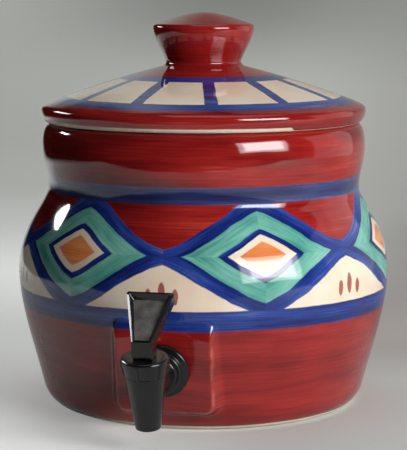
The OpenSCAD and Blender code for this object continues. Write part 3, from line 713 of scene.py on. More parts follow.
def values_of(mesh, name):
    """One value per point, read from an attribute."""
    flat = np.empty(len(mesh.vertices), dtype=np.float32)
    mesh.attributes[name].data.foreach_get("value", flat)
    return flat.astype(float)


print("where two equal heights meet, a soft maximum 4 mm wide adds", soft_max(0.0, 0.0, 4.0), "mm")

# %% Turn the crock and raise its pad
pad_w, pad_h, pad_shift, pad_corner = 66.0, 65.0, 0.5, 7.0
pad_edge, pad_slope = 1.2, 2.1
pad_blend, edge_blend = 4.0, 1.2
fade_from, fade_to = 18.0, 35.0
pad_zone, pad_limit = 55, belly_z + 10
seat_r, seat_zone, wall_at_tap = 19.0, 40, 8.436
thin_at, thin_w = 0.5, 0.75


def raise_pad(mesh):
    """Lifts the pad out of the wall, flattens the washer's seat inside, marks the pad's edges for thin glaze
    and a painted highlight.
    """
    world = points_of(mesh)
    to_tap = np.array(tap_frame.inverted())
    local = (world @ to_tap[:3, :3].T + to_tap[:3, 3]) / MM
    x, out, height = local[:, 0], -local[:, 1], local[:, 2]
    along = values_of(mesh, "along") / MM
    near = (np.abs(x) < pad_zone) & (np.abs(height) < pad_zone) & (world[:, 1] < 0)

    edge = rounded_square(x, height - pad_shift, pad_w / 2, pad_h / 2, pad_corner)
    sides = -soft_max(edge + pad_edge, pad_edge + pad_slope * edge, edge_blend)
    face = -soft_max(np.zeros_like(edge), -sides, edge_blend)
    wall = near & (along > 0) & (along < along_at(pad_limit))
    fade = np.clip((fade_to - height) / (fade_to - fade_from), 0.0, 1.0)
    fade = fade ** 2 * (3 - 2 * fade)
    lift = np.where(wall, soft_max(out, face, pad_blend) - out, 0.0) * fade

    from_axis = np.hypot(x, height)
    seat = near & (along > rim_along) & (out > -seat_zone)
    press = np.clip(seat_r + 1 - from_axis, 0.0, 1.0) * np.maximum(-wall_at_tap - out, 0.0)
    lift = lift + np.where(seat, press, 0.0)

    outward = np.array(tap_frame.to_3x3() @ Vector((0, -1, 0)))
    mesh.vertices.foreach_set("co", (world + lift[:, None] * outward * MM).astype(np.float32).ravel())
    # The pale line along the pad's edges: part thin glaze, part painted highlight.
    thin = np.where(wall & (face > out - 1), np.exp(-((edge + thin_at) / thin_w) ** 2), 0.0) * fade
    mesh.attributes.new("thin", "FLOAT", "POINT")
    mesh.attributes["thin"].data.foreach_set("value", thin.astype(np.float32))
    mesh.update()
    return lift.max()


crock = turned(
    "crock_painted", crock_profile, glaze, columns=250, along=crock_along, front_share=0.42,
    front_angle=math.radians(21),
)
pad_lift = raise_pad(crock.data)
print("pad raised by up to", round(pad_lift, 1), "mm; open edges and litres of clay:", faults(crock.data))

# %% Drill the hole for the tap's shank
tap_hole_r, drill_in, drill_out = 9.5, 30, 20


def placed(obj, matrix):
    """Moves an object's mesh into a frame; the object itself stays at the origin."""
    obj.data.transform(matrix)
    return obj


def cylinder(name, radius, low, high, matrix, columns=64):
    """A plain cylinder along the local Z axis of a frame, in millimetres."""
    rod = turned(name, [(0, low), (radius, low), (radius, high), (0, high)], None, columns)
    return placed(rod, matrix)


def combined(obj, other, operation):
    """Joins, cuts or overlaps an object with another, which is then removed."""
    modifier = obj.modifiers.new(operation, "BOOLEAN")
    modifier.operation = operation
    modifier.solver = "EXACT"
    modifier.object = other
    applied(obj)
    bpy.data.objects.remove(other)
    return obj


combined(crock, cylinder("drill", tap_hole_r, -drill_in, drill_out, along_tap), "DIFFERENCE")
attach(crock, "vessel")
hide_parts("crock")
print("crock:", len(crock.data.polygons), "faces; open edges and litres:", faults(crock.data))

# %% [markdown]
# ## The lid
#
# The lid is turned as one piece with its hollow knob: a rolled edge, a low cone with a slight wave, a flared
# knob and a domed top. A ring under it drops into the crock's mouth and keeps it from sliding off. A Screw
# modifier could turn it too. The tree at hand also carries the distance along the clay, which the glaze
# needs, so it turns the lid as well, with evenly spread columns.

# %% The lid's main lines
lid_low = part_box("lid")[0]
skirt_h, skirt_t, skirt_play, skirt_r = 10.0, 6.0, 2.0, 1.0
lid_z = lid_low.z / MM + skirt_h
lid_t = 6.5
lid_seat = np.array([110.5, 0.0])
lid_edge = np.array([115.5, 8.3])
lid_shoulder = np.array([112.5, 12.3])
knob_foot = lid_shoulder + [-81.5, 26.2]
knob_neck = np.array([26.7, knob_foot[1] + 3.6])
knob_edge = np.array([36.0, knob_neck[1] + 24.0])
knob_top = np.array([0.0, knob_edge[1] + 10.7])
knob_round, edge_turn = 3.0, 72.0

lid_run, crown_rise = lid_shoulder[0] - knob_foot[0], knob_foot[1] - lid_shoulder[1]
edge_rise, flare_h = lid_shoulder[1] - lid_edge[1], knob_edge[1] - knob_neck[1]
seat_run, shoulder_in = lid_edge[0] - lid_seat[0], lid_edge[0] - lid_shoulder[0]
neck_in, flare_run = knob_neck[0] - knob_foot[0], knob_edge[0] - knob_neck[0]
print("lid:", 2 * lid_edge[0], "mm wide, its knob", 2 * knob_edge[0], "mm")

# %% Draw the lid's upper side
seat_pull, low_pull, high_pull = 0.56, 0.46, 0.52
roll_pull, cone_pull = np.array([0.6, -0.2]), np.array([-0.215, 0.294])
crown_pull, fillet_pull = np.array([0.356, -0.286]), 0.6
fillet_up, fillet_down = 0.72, 1.62
flare_pull, flare_top_pull = np.array([0.1, 0.22]), 0.32
dome_start, dome_flat = 9.0, 12.0

low_edge = bend(
    lid_seat, lid_seat + [seat_run * seat_pull, 0], lid_edge - UP * lid_edge[1] * low_pull, lid_edge, 10
)
high_edge = bend(
    lid_edge, lid_edge + UP * edge_rise * high_pull, lid_shoulder + [shoulder_in, edge_rise] * roll_pull,
    lid_shoulder, 8,
)
crown = bend(
    lid_shoulder, lid_shoulder + [lid_run, crown_rise] * cone_pull,
    knob_foot + [lid_run, crown_rise] * crown_pull, knob_foot, 54,
)
fillet = bend(
    knob_foot, knob_foot + [neck_in * fillet_pull, fillet_up], knob_neck - UP * fillet_down, knob_neck, 8
)
flare = bend(
    knob_neck, knob_neck + [flare_run, flare_h] * flare_pull, knob_edge - UP * flare_h * flare_top_pull,
    knob_edge, 22,
)
knob_rim = arc(knob_edge - [knob_round, 0], knob_round, 0, edge_turn, 8)
dome_way = np.array([-math.sin(math.radians(edge_turn)), math.cos(math.radians(edge_turn))])
dome = bend(knob_rim[-1], knob_rim[-1] + dome_way * dome_start, knob_top + [dome_flat, 0], knob_top, 22)
lid_upper = chain(low_edge, high_edge, crown, fillet, flare, knob_rim, dome)
print("upper side:", len(lid_upper), "points,", round(lengths(lid_upper)[-1]), "mm from seat to top")

# %% Draw the lid's underside and close the profile
hollow_rise, hollow_flat, hollow_low_pull, hollow_high_pull = 2.7, 0.6, 0.25, 0.3
cone_t = lid_t * 1.05
knob_in = knob_neck[0] - lid_t
hollow_edge, hollow_top = knob_edge - [lid_t, lid_t / 3], knob_top - UP * lid_t
hollow_neck = np.array([knob_in, knob_neck[1]])
hollow_dome = bend(
    hollow_edge, hollow_edge + UP * hollow_rise, hollow_top + [hollow_edge[0] * hollow_flat, 0],
    hollow_top, 12,
)
hollow_flare = bend(
    hollow_neck, hollow_neck + UP * flare_h * hollow_low_pull, hollow_edge - UP * flare_h * hollow_high_pull,
    hollow_edge, 12,
)
skirt_out = mouth_r - skirt_play
skirt_in = skirt_out - skirt_t
under_r = np.linspace(knob_in + lid_t / 2, skirt_in - lid_t / 2, 18)
under_z = np.interp(under_r, crown[::-1, 0], crown[::-1, 1]) - cone_t
under = np.stack([under_r, under_z], axis=1)
skirt = chain(
    [skirt_in, under[-1][1] - lid_t / 2],
    arc([skirt_in + skirt_r, skirt_r - skirt_h], skirt_r, 180, 270, 4),
    arc([skirt_out - skirt_r, skirt_r - skirt_h], skirt_r, 270, 360, 4),
    [skirt_out, 0],
    lid_seat,
)
lid_under = chain(hollow_dome[::-1], hollow_flare[::-1], under, skirt)
lid_profile = chain(lid_under, lid_upper)
lid_along = lengths(lid_profile) - lengths(lid_under)[-1]
lid_profile = lid_profile + UP * lid_z
print("lid profile:", len(lid_profile), "points, top at", round(lid_profile[-1][1], 1), "mm")

# %% [markdown]
# ## The lid's painted rings
#
# The rings are laid out by their distance from the axis: burgundy on the knob and round its foot, a blue
# ring, a cream ring with blue bars, a second blue ring and a burgundy edge. The bars are plain spokes, so
# the angle round the lid is all that they need.
#
# The rolled edge below the burgundy is bare clay. The brush didn't stop at the same line all the way round:
# on the right its paint laps over that edge, so the line there is moved down by a little.

# %% Material: the lid's glaze
ring_edges = (50.0, 60.0, 98.0, 107.5)
bars, bar_w = 12, 8.5
bare_from, bare_to = 4.2, 5.0
under_from, under_to = -22.0, -20.0
lapped_from, lapped_to, lapped_soft, lapped_by = 0.76, 2.4, 0.02, 2.7


def lid_glaze():
    """The lid's paint and glaze, from the knob's top to the hollow underside."""
    c = Clay("lid_glaze")
    r = c.total(c.r_mm, c.wander(1.8))
    red = c.ramp(c.brushed(2.0, laps=60.0), *BURGUNDY)
    blue = c.ramp(c.brushed(6.0, laps=150.0), *BLUE)
    cream = c.ramp(c.noise(c.place, 24.0, 3.0), *CREAM)
    turns = c.math("FRACT", c.math("MULTIPLY", c.turn, bars / math.tau))
    off_bar = c.math("MULTIPLY", c.math("ABSOLUTE", c.math("SUBTRACT", turns, 0.5)), math.tau / bars)
    off_bar = c.math("MULTIPLY_ADD", off_bar, c.r_mm, c.wander(4.0, 18.0))
    ring = c.mix(c.past(off_bar, bar_w / 2), blue, cream)
    colour = red
    for start, paint in zip(ring_edges, (blue, ring, blue, red)):
        colour = c.mix(c.past(r, start), colour, paint)
    lapped = c.math("MULTIPLY", c.band(c.turn, lapped_from, lapped_to, lapped_soft), lapped_by)
    up_from_seat = c.total(c.along_mm, c.wander(0.8), lapped)
    edge_bare = c.math("SUBTRACT", 1, c.rise(up_from_seat, bare_from, bare_to))
    under_glaze = c.math("SUBTRACT", 1, c.rise(c.along_mm, under_from, under_to))
    bare = c.math("SUBTRACT", edge_bare, under_glaze)
    colour = c.mix(edge_bare, colour, c.ramp(c.noise(c.place, 90.0, 3.0), *CLAY))
    colour = c.mix(under_glaze, colour, cream)
    return c.glaze(colour, bare)


lid = turned("lid_painted", lid_profile, lid_glaze(), columns=192, along=lid_along)
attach(lid, "lid")
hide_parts("lid")
print("lid:", len(lid.data.polygons), "faces; open edges and litres:", faults(lid.data))

# %% [markdown]
# ## Moulded plastics, rubber and steel
#
# The tap is moulded in black plastic with a satin skin. Its colour is nearly even, so the finish lives in
# its roughness and in a fine bump: a smooth one on the turned parts, and a coarse grain on the lever's
# panel. Grain of that size is too fine to model. The small pieces inside keep their construction's mesh and
# get the same kind of finish in their own colours.

# %% Materials: plastics, rubber and steel
def moulded(name, dark, pale, rough, grain=900.0, depth=0.00003, strength=0.25, metallic=0.0):
    """A moulded or rolled surface: a faint mottle, uneven gloss and a fine bump."""
    material = bpy.data.materials.new(name)
    material.use_nodes = True
    n = Nodes(material.node_tree)
    shader = n.tree.nodes["Principled BSDF"]
    place = n.add("ShaderNodeTexCoord", out="Object")
    mottle = n.noise(place, 120.0, 3.0)
    fine = n.noise(place, grain, 3.0)
    n.feed(shader.inputs["Base Color"], n.ramp(mottle, (0.3, dark), (0.7, pale)))
    n.feed(shader.inputs["Roughness"], n.math("MULTIPLY_ADD", fine, 0.12, rough - 0.06))
    bump = n.add("ShaderNodeBump", {"Strength": strength, "Distance": depth, "Height": fine})
    n.feed(shader.inputs["Normal"], bump)
    shader.inputs["Metallic"].default_value = metallic
    return material


black = moulded("black_plastic", tint(17, 17, 18), tint(26, 26, 27), 0.18)
grained = moulded(
    "grained_black_plastic", tint(66, 64, 62), tint(108, 105, 101), 0.46, depth=0.0003, strength=1.0
)
rubber = moulded("black_rubber", tint(26, 26, 26), tint(40, 39, 38), 0.70, 500.0)
nylon = moulded("white_nylon", tint(214, 212, 204), tint(228, 226, 220), 0.45, 500.0)
silicone = moulded("pale_silicone", tint(216, 208, 192), tint(230, 224, 212), 0.40, 400.0)
steel = moulded("spring_steel", tint(176, 178, 182), tint(206, 208, 212), 0.28, 700.0, metallic=1.0)
finishes = {
    "flange_washer": rubber, "inner_washer": rubber, "plain_washer": nylon, "bonnet_gasket": silicone,
    "stem_seal": rubber, "seal_retainer": steel, "valve_spring": steel, "seat_cup": silicone,
    "valve_stem": black, "lever_pin": steel,
}
for node_name, finish in finishes.items():
    slots = frame["nodes"][node_name].data.materials
    slots.clear()
    slots.append(finish)
print("finished in place:", ", ".join(finishes))

# %% [markdown]
# ## The tap's body
#
# Two turned forms meet in the body: the spout, which tapers to its mouth, and the flange with its step,
# barrel and shank, turned about the tap's own centre line. Joined first and bored afterwards, they leave
# clean walls for the drink's way through. Where two curved walls cross, a boolean can leave cracks finer
# than a hair, so a weld with a very short reach closes them.

# %% Draw the tap's profiles
spout_drop, spout_rise, thread_top = 21.4, 15.4, 22.4
mouth_out, spout_top_r, neck_thread_r = 8.4, 13.2, 11.0
mouth_round, outlet_r, seat_drop, chamber_r = 0.8, 5.5, 11.0, 8.2
flange_back, flange_front, step_front = 2.5, 6.5, 10.1
flange_r, step_r, barrel_r, edge_round, barrel_fillet = 18.3, 14.2, 10.0, 1.2, 1.4
shank_r, thread_depth, inlet_r, shank_end = 8.0, 0.5, 5.0, 25.436
small_round, shank_chamfer, outlet_chamfer, cut_past = 0.5, 0.8, 0.6, 2

spout_profile = chain(
    [0, -spout_drop],
    [outlet_r + 1, -spout_drop],
    arc([mouth_out - mouth_round, mouth_round - spout_drop], mouth_round, 270, 360, 5),
    line([mouth_out, mouth_round - spout_drop], [spout_top_r, spout_rise - 0.4], 8),
    [spout_top_r - 0.3, spout_rise],
    [neck_thread_r, spout_rise],
    [neck_thread_r, thread_top],
    [0, thread_top],
)
shank_root = shank_r - thread_depth
flange_profile = chain(
    [0, -shank_end],
    [shank_root - shank_chamfer, -shank_end],
    [shank_root, shank_chamfer - shank_end],
    [shank_root, flange_back],
    arc([flange_r - small_round, flange_back + small_round], small_round, 270, 360, 3),
    arc([flange_r - edge_round, flange_front - edge_round], edge_round, 0, 90, 6),
    arc([step_r + small_round, flange_front + small_round], small_round, 270, 180, 3),
    arc([step_r - edge_round, step_front - edge_round], edge_round, 0, 90, 6),
    arc([barrel_r + barrel_fillet, step_front + barrel_fillet], barrel_fillet, 270, 180, 6),
    [barrel_r, tap_reach],
    [0, tap_reach],
)
bore_profile = chain(
    [0, -spout_drop - cut_past],
    [outlet_r + outlet_chamfer, -spout_drop - cut_past],
    [outlet_r + outlet_chamfer, -spout_drop],
    [outlet_r, outlet_chamfer - spout_drop],
    [outlet_r, -seat_drop],
    [chamber_r, -seat_drop],
    [chamber_r, thread_top + cut_past],
    [0, thread_top + cut_past],
)
print("spout, flange and bore:", len(spout_profile), len(flange_profile), len(bore_profile), "points")

# %% Build the tap's body
weld_reach = 0.004


def shade_by_angle(obj, degrees=32):
    """Smooth shading, with creases wherever two faces meet at more than an angle."""
    obj.data.shade_smooth()
    obj.data.set_sharp_from_angle(angle=math.radians(degrees))
    return obj


tap_body = placed(turned("tap_body_moulded", spout_profile, black, 128), spout_frame)
combined(tap_body, placed(turned("flange_and_shank", flange_profile, black, 128), along_tap), "UNION")
combined(tap_body, placed(turned("spout_bore", bore_profile, black, 96), spout_frame), "DIFFERENCE")
combined(tap_body, cylinder("inlet", inlet_r, -shank_end - cut_past, tap_reach, along_tap), "DIFFERENCE")
weld = tap_body.modifiers.new("close hairline cracks", "WELD")
weld.merge_threshold = weld_reach * MM
shade_by_angle(applied(tap_body))
print("tap body:", len(tap_body.data.polygons), "faces; open edges and litres:", faults(tap_body.data))

# %% [markdown]
# ## The shank's thread
#
# A thread is a ridge that climbs round a rod, so the tree sweeps a small triangle along a helix. A Screw
# modifier winds such a ridge too, but here pitch, length and ridge are plain inputs. Only the stretch inside
# the crock has the thread, and the nut runs on it.

# %% Geometry Nodes tree: a thread
def thread_tree():
    """A ridge with three sides along a helix, closed at both ends."""
    sockets = [
        ("Radius", "Float"), ("Length", "Float"), ("Pitch", "Float"), ("Ridge", "Float"),
        ("Material", "Material"),
    ]
    tree, n, given = new_tree("thread", sockets)
    radius, length, pitch, ridge, material = (given[i] for i in range(1, 6))
    helix = n.add("GeometryNodeCurveSpiral", {
        "Resolution": 48, "Rotations": n.math("DIVIDE", length, pitch), "Start Radius": radius,
        "End Radius": radius, "Height": length,
    })
    section = n.add("GeometryNodeCurvePrimitiveCircle", {"Resolution": 3, "Radius": ridge})
    swept = n.add("GeometryNodeCurveToMesh", {"Curve": helix, "Profile Curve": section, "Fill Caps": True})
    end_tree(n, swept, material)
    return tree


thread_from, thread_pitch, thread_stop = 9.5, 1.8, 1.2
thread = new_object("shank_thread", bpy.data.meshes.new("shank_thread"))
run_tree(
    thread, thread_tree(), radius=shank_root * MM, length=(shank_end - thread_stop - thread_from) * MM,
    pitch=thread_pitch * MM, ridge=thread_depth * MM, material=black,
)
placed(thread, along_tap @ Matrix.Translation((0, 0, (thread_stop - shank_end) * MM)))
print("thread:", len(thread.data.polygons), "faces")

# %% [markdown]
# ## The bonnet and its grip ribs
#
# The bonnet is the cap that screws onto the spout and guides the valve's stem. Six ribs give the fingers a
# grip on it. An Array modifier could repeat one rib. The tree sets the ribs round a circle, leans each one
# with the cap's side and joins them all to the cap, so a change of their number is one input.

# %% Geometry Nodes tree: ribs round a cap
def ribs_tree():
    """Round ribs set on a circle, leaned outwards and joined to the cap."""
    sockets = [
        ("Count", "Int"), ("Turn", "Float"), ("Radius", "Float"), ("Lean", "Float"), ("Base", "Float"),
        ("Rib Radius", "Float"), ("Rib Length", "Float"), ("Material", "Material"),
    ]
    tree, n, given = new_tree("ribs round a cap", sockets)
    cap, count, turn, radius, lean, base, rib_radius, rib_length, material = (given[i] for i in range(9))
    circle = n.add("GeometryNodeMeshCircle", {"Vertices": count, "Radius": radius})
    rod = n.add("GeometryNodeMeshCylinder", {
        "Vertices": 20, "Side Segments": 6, "Radius": rib_radius, "Depth": rib_length,
    })
    raised = n.join(0.0, 0.0, n.math("DIVIDE", rib_length, 2))
    rod = n.add("GeometryNodeTransform", {"Geometry": rod, "Translation": raised})
    spacing = n.math("DIVIDE", math.tau, count)
    angle = n.math("MULTIPLY", n.add("GeometryNodeInputIndex"), spacing)
    leaned = n.join(0.0, lean, angle)
    ribs = n.add("GeometryNodeInstanceOnPoints", {"Points": circle, "Instance": rod, "Rotation": leaned})
    ribs = n.add("GeometryNodeRealizeInstances", {0: ribs})
    shift = {"Geometry": ribs, "Translation": n.join(0.0, 0.0, base), "Rotation": n.join(0.0, 0.0, turn)}
    ribs = n.add("GeometryNodeTransform", shift)
    both = n.add("GeometryNodeMeshBoolean", {}, operation="UNION", solver="EXACT")
    n.tree.links.new(cap, both.node.inputs["Mesh 2"])
    n.tree.links.new(ribs, both.node.inputs["Mesh 2"])
    end_tree(n, both, material)
    return tree


ribbed_cap = ribs_tree()
print("tree:", ribbed_cap.name, "with", len(ribbed_cap.nodes), "nodes")

# %% Build the bonnet
bonnet_low, bonnet_top, bonnet_under, guide_end = 15.6, 27.0, 24.0, 20.8
bonnet_low_r, bonnet_r, bonnet_round, thread_play = 13.7, 15.5, 1.8, 0.15
stem_bore_r, seal_room_r, guide_r, seal_t = 2.6, 4.2, 4.7, 1.6
rib_count, rib_turn, rib_r = 6, 23.0, 0.8
bonnet_bore = neck_thread_r + thread_play
rib_climb = bonnet_top - bonnet_round - bonnet_low
rib_lean = math.atan((bonnet_r - bonnet_low_r) / rib_climb)
bonnet_profile = chain(
    [bonnet_bore, bonnet_low],
    arc([bonnet_low_r - 0.4, bonnet_low + 0.4], 0.4, 270, 360, 3),
    arc([bonnet_r - bonnet_round, bonnet_top - bonnet_round], bonnet_round, 0, 90, 8),
    line([bonnet_r - bonnet_round, bonnet_top], [stem_bore_r, bonnet_top], 4),
    [stem_bore_r, guide_end + seal_t],
    [seal_room_r, guide_end + seal_t],
    [seal_room_r, guide_end],
    [guide_r, guide_end],
    [guide_r, bonnet_under],
    [bonnet_bore, bonnet_under],
    [bonnet_bore, bonnet_low],
)
bonnet = turned("bonnet_moulded", bonnet_profile, black, 128)
run_tree(
    bonnet, ribbed_cap, count=rib_count, turn=math.radians(rib_turn), radius=bonnet_low_r * MM,
    lean=rib_lean, base=bonnet_low * MM, rib_radius=rib_r * MM,
    rib_length=rib_climb / math.cos(rib_lean) * MM, material=black,
)
placed(bonnet, spout_frame)
shade_by_angle(bonnet)
print("bonnet:", len(bonnet.data.polygons), "faces; open edges and litres:", faults(bonnet.data))

# %% [markdown]
# ## The lever
#
# The lever is one moulding: a post whose foot rolls on the bonnet, and a fan-shaped paddle that leans back
# from it. The panel in the paddle's face slopes in from a narrow border and sinks deeper towards the top,
# which is why its frame looks wider there.
#
# A box could be cut and pulled into shape, but outlines keep the sizes in view, so prisms and lofts through
# them are joined and cut instead. A fine bevel then rounds every edge so that it catches the light, and
# weighted normals keep the broad facets flat between the rounded edges.

# %% Outlines of the lever
lever_w, heel_back, pin_rise, lift_per_rad, lever_travel = 12.8, 5.4, 4.0, 4.5, 40.0
crease_z, paddle_lean, paddle_l, paddle_w, paddle_t, paddle_corner = 8.2, 52.0, 38.0, 31.8, 8.0, 1.5


def foot_point(degrees):
    """A point of the rolling foot, which lifts the pin in step with the lever's angle."""
    a = math.radians(degrees)
    drop = pin_rise + lift_per_rad * a
    back = -drop * math.sin(a) - lift_per_rad * math.cos(a)
    return back, -drop * math.cos(a) + lift_per_rad * math.sin(a)


def fan(margin, low, corner, growth=0.0):
    """The paddle's outline, shrunk by a margin that may grow upwards, and cut off below a length."""
    spread = ((paddle_w - lever_w) / 2 - growth) / paddle_l
    side = math.atan(spread)
    shrink = margin / math.cos(side)
    high = paddle_l - margin - growth - corner
    foot_half = lever_w / 2 + spread * low - shrink
    top_half = lever_w / 2 + spread * high - shrink - corner / math.cos(side)
    turn = math.degrees(side)
    return chain(
        [-foot_half, low], [foot_half, low], arc([top_half, high], corner, -turn, 90, 6),
        arc([-top_half, high], corner, 90, 180 + turn, 6),
    )


lean = math.radians(paddle_lean)
toe = foot_point(lever_travel)
crease = np.array([toe[0], crease_z])
back_start = crease + paddle_t * np.array([math.cos(lean), -math.sin(lean)])
back_run = (heel_back - back_start[0]) / math.sin(lean)
back_joint = back_start + back_run * np.array([math.sin(lean), math.cos(lean)])
rolling_foot = [foot_point(a) for a in np.linspace(0, lever_travel, 9)]
post_outline = chain([heel_back, -pin_rise], rolling_foot, crease, back_joint)
print("post outline:", len(post_outline), "points; paddle:", paddle_l, "by", paddle_w, "mm")

# %% Prisms and lofts
def solid(name, rings):
    """A closed solid through matching rings of points, in millimetres; its faces point outwards."""
    count = len(rings[0])
    points = [tuple(p * MM for p in point) for ring in rings for point in ring]
    faces = [tuple(range(count)), tuple(reversed(range((len(rings) - 1) * count, len(rings) * count)))]
    for level in range(len(rings) - 1):
        low, high = level * count, (level + 1) * count
        faces += [(low + i, high + i, high + (i + 1) % count, low + (i + 1) % count) for i in range(count)]
    mesh = bpy.data.meshes.new(name)
    mesh.from_pydata(points, [], faces)
    shape = bmesh.new()
    shape.from_mesh(mesh)
    bmesh.ops.recalc_face_normals(shape, faces=shape.faces)
    shape.to_mesh(mesh)
    shape.free()
    return new_object(name, mesh)


def side_prism(name, outline, width):
    """A side outline, given as depth and height, spread to a width."""
    return solid(name, [[(x, y, z) for y, z in outline] for x in (-width / 2, width / 2)])


def fan_ring(outline, depth, dip=0.0):
    """A fan outline at a depth behind the paddle's face, which may dip backwards."""
    tip = lean + math.radians(dip)
    out_y, out_z = -math.cos(tip), math.sin(tip)
    return [
        (x, crease[0] + v * math.sin(tip) - depth * out_y, crease[1] + v * math.cos(tip) - depth * out_z)
        for x, v in outline
    ]


print("the paddle's face starts", round(crease[1], 1), "mm above the pin and leans", paddle_lean, "degrees")

# %% Build the lever
border_w, panel_d, panel_dip, panel_slope, panel_spread = 1.65, 0.4, 6.0, 0.5, 2.0
core_wall, core_d, slot_half, stem_room_r, pin_r = 2.2, 2.0, 3.0, 3.5, 1.0
chamfer_w, chamfer_d = 1.6, 1.0
panel_corner = paddle_corner * 0.6

lever = side_prism("lever_moulded", post_outline, lever_w)
fan_body, fan_face = fan(0, 0, paddle_corner), fan(chamfer_w, 0, paddle_corner)
paddle_rings = [fan_ring(fan_face, 0), fan_ring(fan_body, chamfer_d), fan_ring(fan_body, paddle_t)]
combined(lever, solid("paddle", paddle_rings), "UNION")

panel_low = border_w + panel_slope
mouth_outline = fan(border_w, border_w, panel_corner)
panel_ring = fan_ring(fan(panel_low, panel_low, panel_corner, panel_spread), panel_d, panel_dip)
recess = [fan_ring(mouth_outline, -panel_d), fan_ring(mouth_outline, 0), panel_ring]
combined(lever, solid("panel_recess", recess), "DIFFERENCE")

core_outline = fan(core_wall, back_run + core_wall, panel_corner)
core = [fan_ring(core_outline, paddle_t - core_d), fan_ring(core_outline, paddle_t + core_d)]
combined(lever, solid("core", core), "DIFFERENCE")

travel = math.radians(lever_travel)
swing = np.array([-math.sin(travel), -math.cos(travel)])
swing_side = np.array([swing[1], -swing[0]])
slot_run = pin_rise * 4
slot_end = swing * slot_run + swing_side * slot_half
slot_outline = chain([slot_half, 0], [slot_half, -slot_run], slot_end, swing_side * slot_half)
combined(lever, side_prism("slot", slot_outline, 2 * slot_half), "DIFFERENCE")
stem_room = arc([0, 0], stem_room_r, 0, 360, 32)[:-1]
combined(lever, side_prism("stem_room", stem_room, 2 * slot_half), "DIFFERENCE")
pin_hole = arc([0, 0], pin_r, 0, 360, 24)[:-1]
combined(lever, side_prism("pin_hole", pin_hole, lever_w + 2), "DIFFERENCE")
print("lever, still sharp:", len(lever.data.polygons), "faces; open edges and litres:", faults(lever.data))

# %% Round the lever's edges and grain its panel
edge_r, edge_steps, edge_angle, crease_angle = 0.25, 3, 35, 24
on_panel, along_panel = 0.05, 0.99

edges = lever.modifiers.new("rounded edges", "BEVEL")
edges.width = edge_r * MM
edges.segments = edge_steps
edges.limit_method = "ANGLE"
edges.angle_limit = math.radians(edge_angle)
applied(lever)
lever.data.materials.append(black)
lever.data.materials.append(grained)
panel_tip = lean + math.radians(panel_dip)
panel_out = np.array([0.0, -math.cos(panel_tip), math.sin(panel_tip)])
for face in lever.data.polygons:
    height = np.dot(np.array(face.center) / MM - np.array(panel_ring[0]), panel_out)
    facing = np.dot(np.array(face.normal), panel_out)
    face.material_index = int(abs(height) < on_panel and facing > along_panel)
placed(lever, lever_frame)
shade_by_angle(lever, crease_angle)
facets = lever.modifiers.new("flat facets", "WEIGHTED_NORMAL")
facets.keep_sharp = True
applied(lever)
print("lever:", len(lever.data.polygons), "faces; open edges and litres:", faults(lever.data))

# %% [markdown]
# ## The nut inside the crock
#
# With the lid off, the nut and its washers show on the inner wall. The nut is a hexagon on a round washer
# face, with its upper corners turned off, which is what overlapping a hexagon with a low cone gives.

# %% Build the nut
nut_start, nut_h, nut_flats, nut_face_r, nut_face_t = 12.436, 9.0, 24.0, 14.0, 2.0
nut_chamfer, nut_clear, nut_play = 0.4, 0.2, 0.1
nut_corner_r = nut_flats / 2 / math.cos(math.radians(30))
hexagon = arc([0, 0], nut_corner_r, 0, 360, 6)[:-1]
nut_ends = (nut_start, nut_start + nut_h)
nut = solid("shank_nut_moulded", [[(x, y, -z) for x, y in hexagon] for z in nut_ends])
turned_off = [
    (0, -nut_start - nut_h), (nut_flats / 2 - nut_chamfer, -nut_start - nut_h),
    (nut_corner_r + nut_clear, 1.0 - nut_start - nut_h), (nut_corner_r + nut_clear, 1 - nut_start),
    (0, 1 - nut_start),
]
combined(nut, turned("nut_blank", turned_off, black, 96), "INTERSECT")
face_ring = [
    (0, -nut_start - nut_face_t), (nut_face_r - nut_chamfer, -nut_start - nut_face_t),
    (nut_face_r, nut_chamfer - nut_start - nut_face_t), (nut_face_r, -nut_start), (0, -nut_start),
]
combined(nut, turned("nut_face", face_ring, black, 96), "UNION")
nut_bore = cylinder("nut_bore", shank_r + nut_play, -nut_start - nut_h - 1, 1 - nut_start, Matrix(), 64)
combined(nut, nut_bore, "DIFFERENCE")
nut.data.materials.clear()
nut.data.materials.append(black)
placed(nut, along_tap)
shade_by_angle(nut)
print("nut:", len(nut.data.polygons), "faces; open edges and litres:", faults(nut.data))

# %% Attach the tap's pieces
rides = (
    (tap_body, "vessel", "tap_body"), (thread, "vessel", None), (bonnet, "vessel", "bonnet"),
    (nut, "vessel", "shank_nut"), (lever, "lever", "lever"),
)
for piece, body, node_name in rides:
    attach(piece, body)
    if node_name:
        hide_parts(node_name)
print("tap pieces:", ", ".join(piece.name for piece, _, _ in rides))

# %% [markdown]
# ## The paper sweep
#
# The crock stands on a pale grey sweep: a floor that curves up into a backdrop, so no horizon shows. Its
# tone is a few soft ramps of painted light and shade: one side paler than the other, a painted shadow on
# the floor to the right behind the pot, and a dim valley of painted shade behind the pot.
#
# The paper also glows a little, but only for a ray that comes straight from the camera or from a mirroring
# surface. That lifts the background in the picture and its mirror image in the glaze, without lighting the
# pot's colours. To all but the camera, the paper far to the left and in front of the pot is dark, as if
# black cards lay there, so that the pot's shaded side stays dark. The paper's back is clear, so the pot can
# be looked at from behind it.

# %% The sweep's form
def sweep(width, front, back, height, radius):
    """A floor that turns up into a backdrop along a quarter circle."""
    turn = arc([back - radius, radius], radius, 270, 360, 24)
    profile = chain([front, 0], turn, [back, height])
    rows = [[(x, y, z) for y, z in profile] for x in (-width / 2, width / 2)]
    count = len(profile)
    faces = [(i, i + count, i + count + 1, i + 1) for i in range(count - 1)]
    mesh = bpy.data.meshes.new("sweep")
    mesh.from_pydata(rows[0] + rows[1], [], faces)
    mesh.shade_smooth()
    return new_object("sweep", mesh)


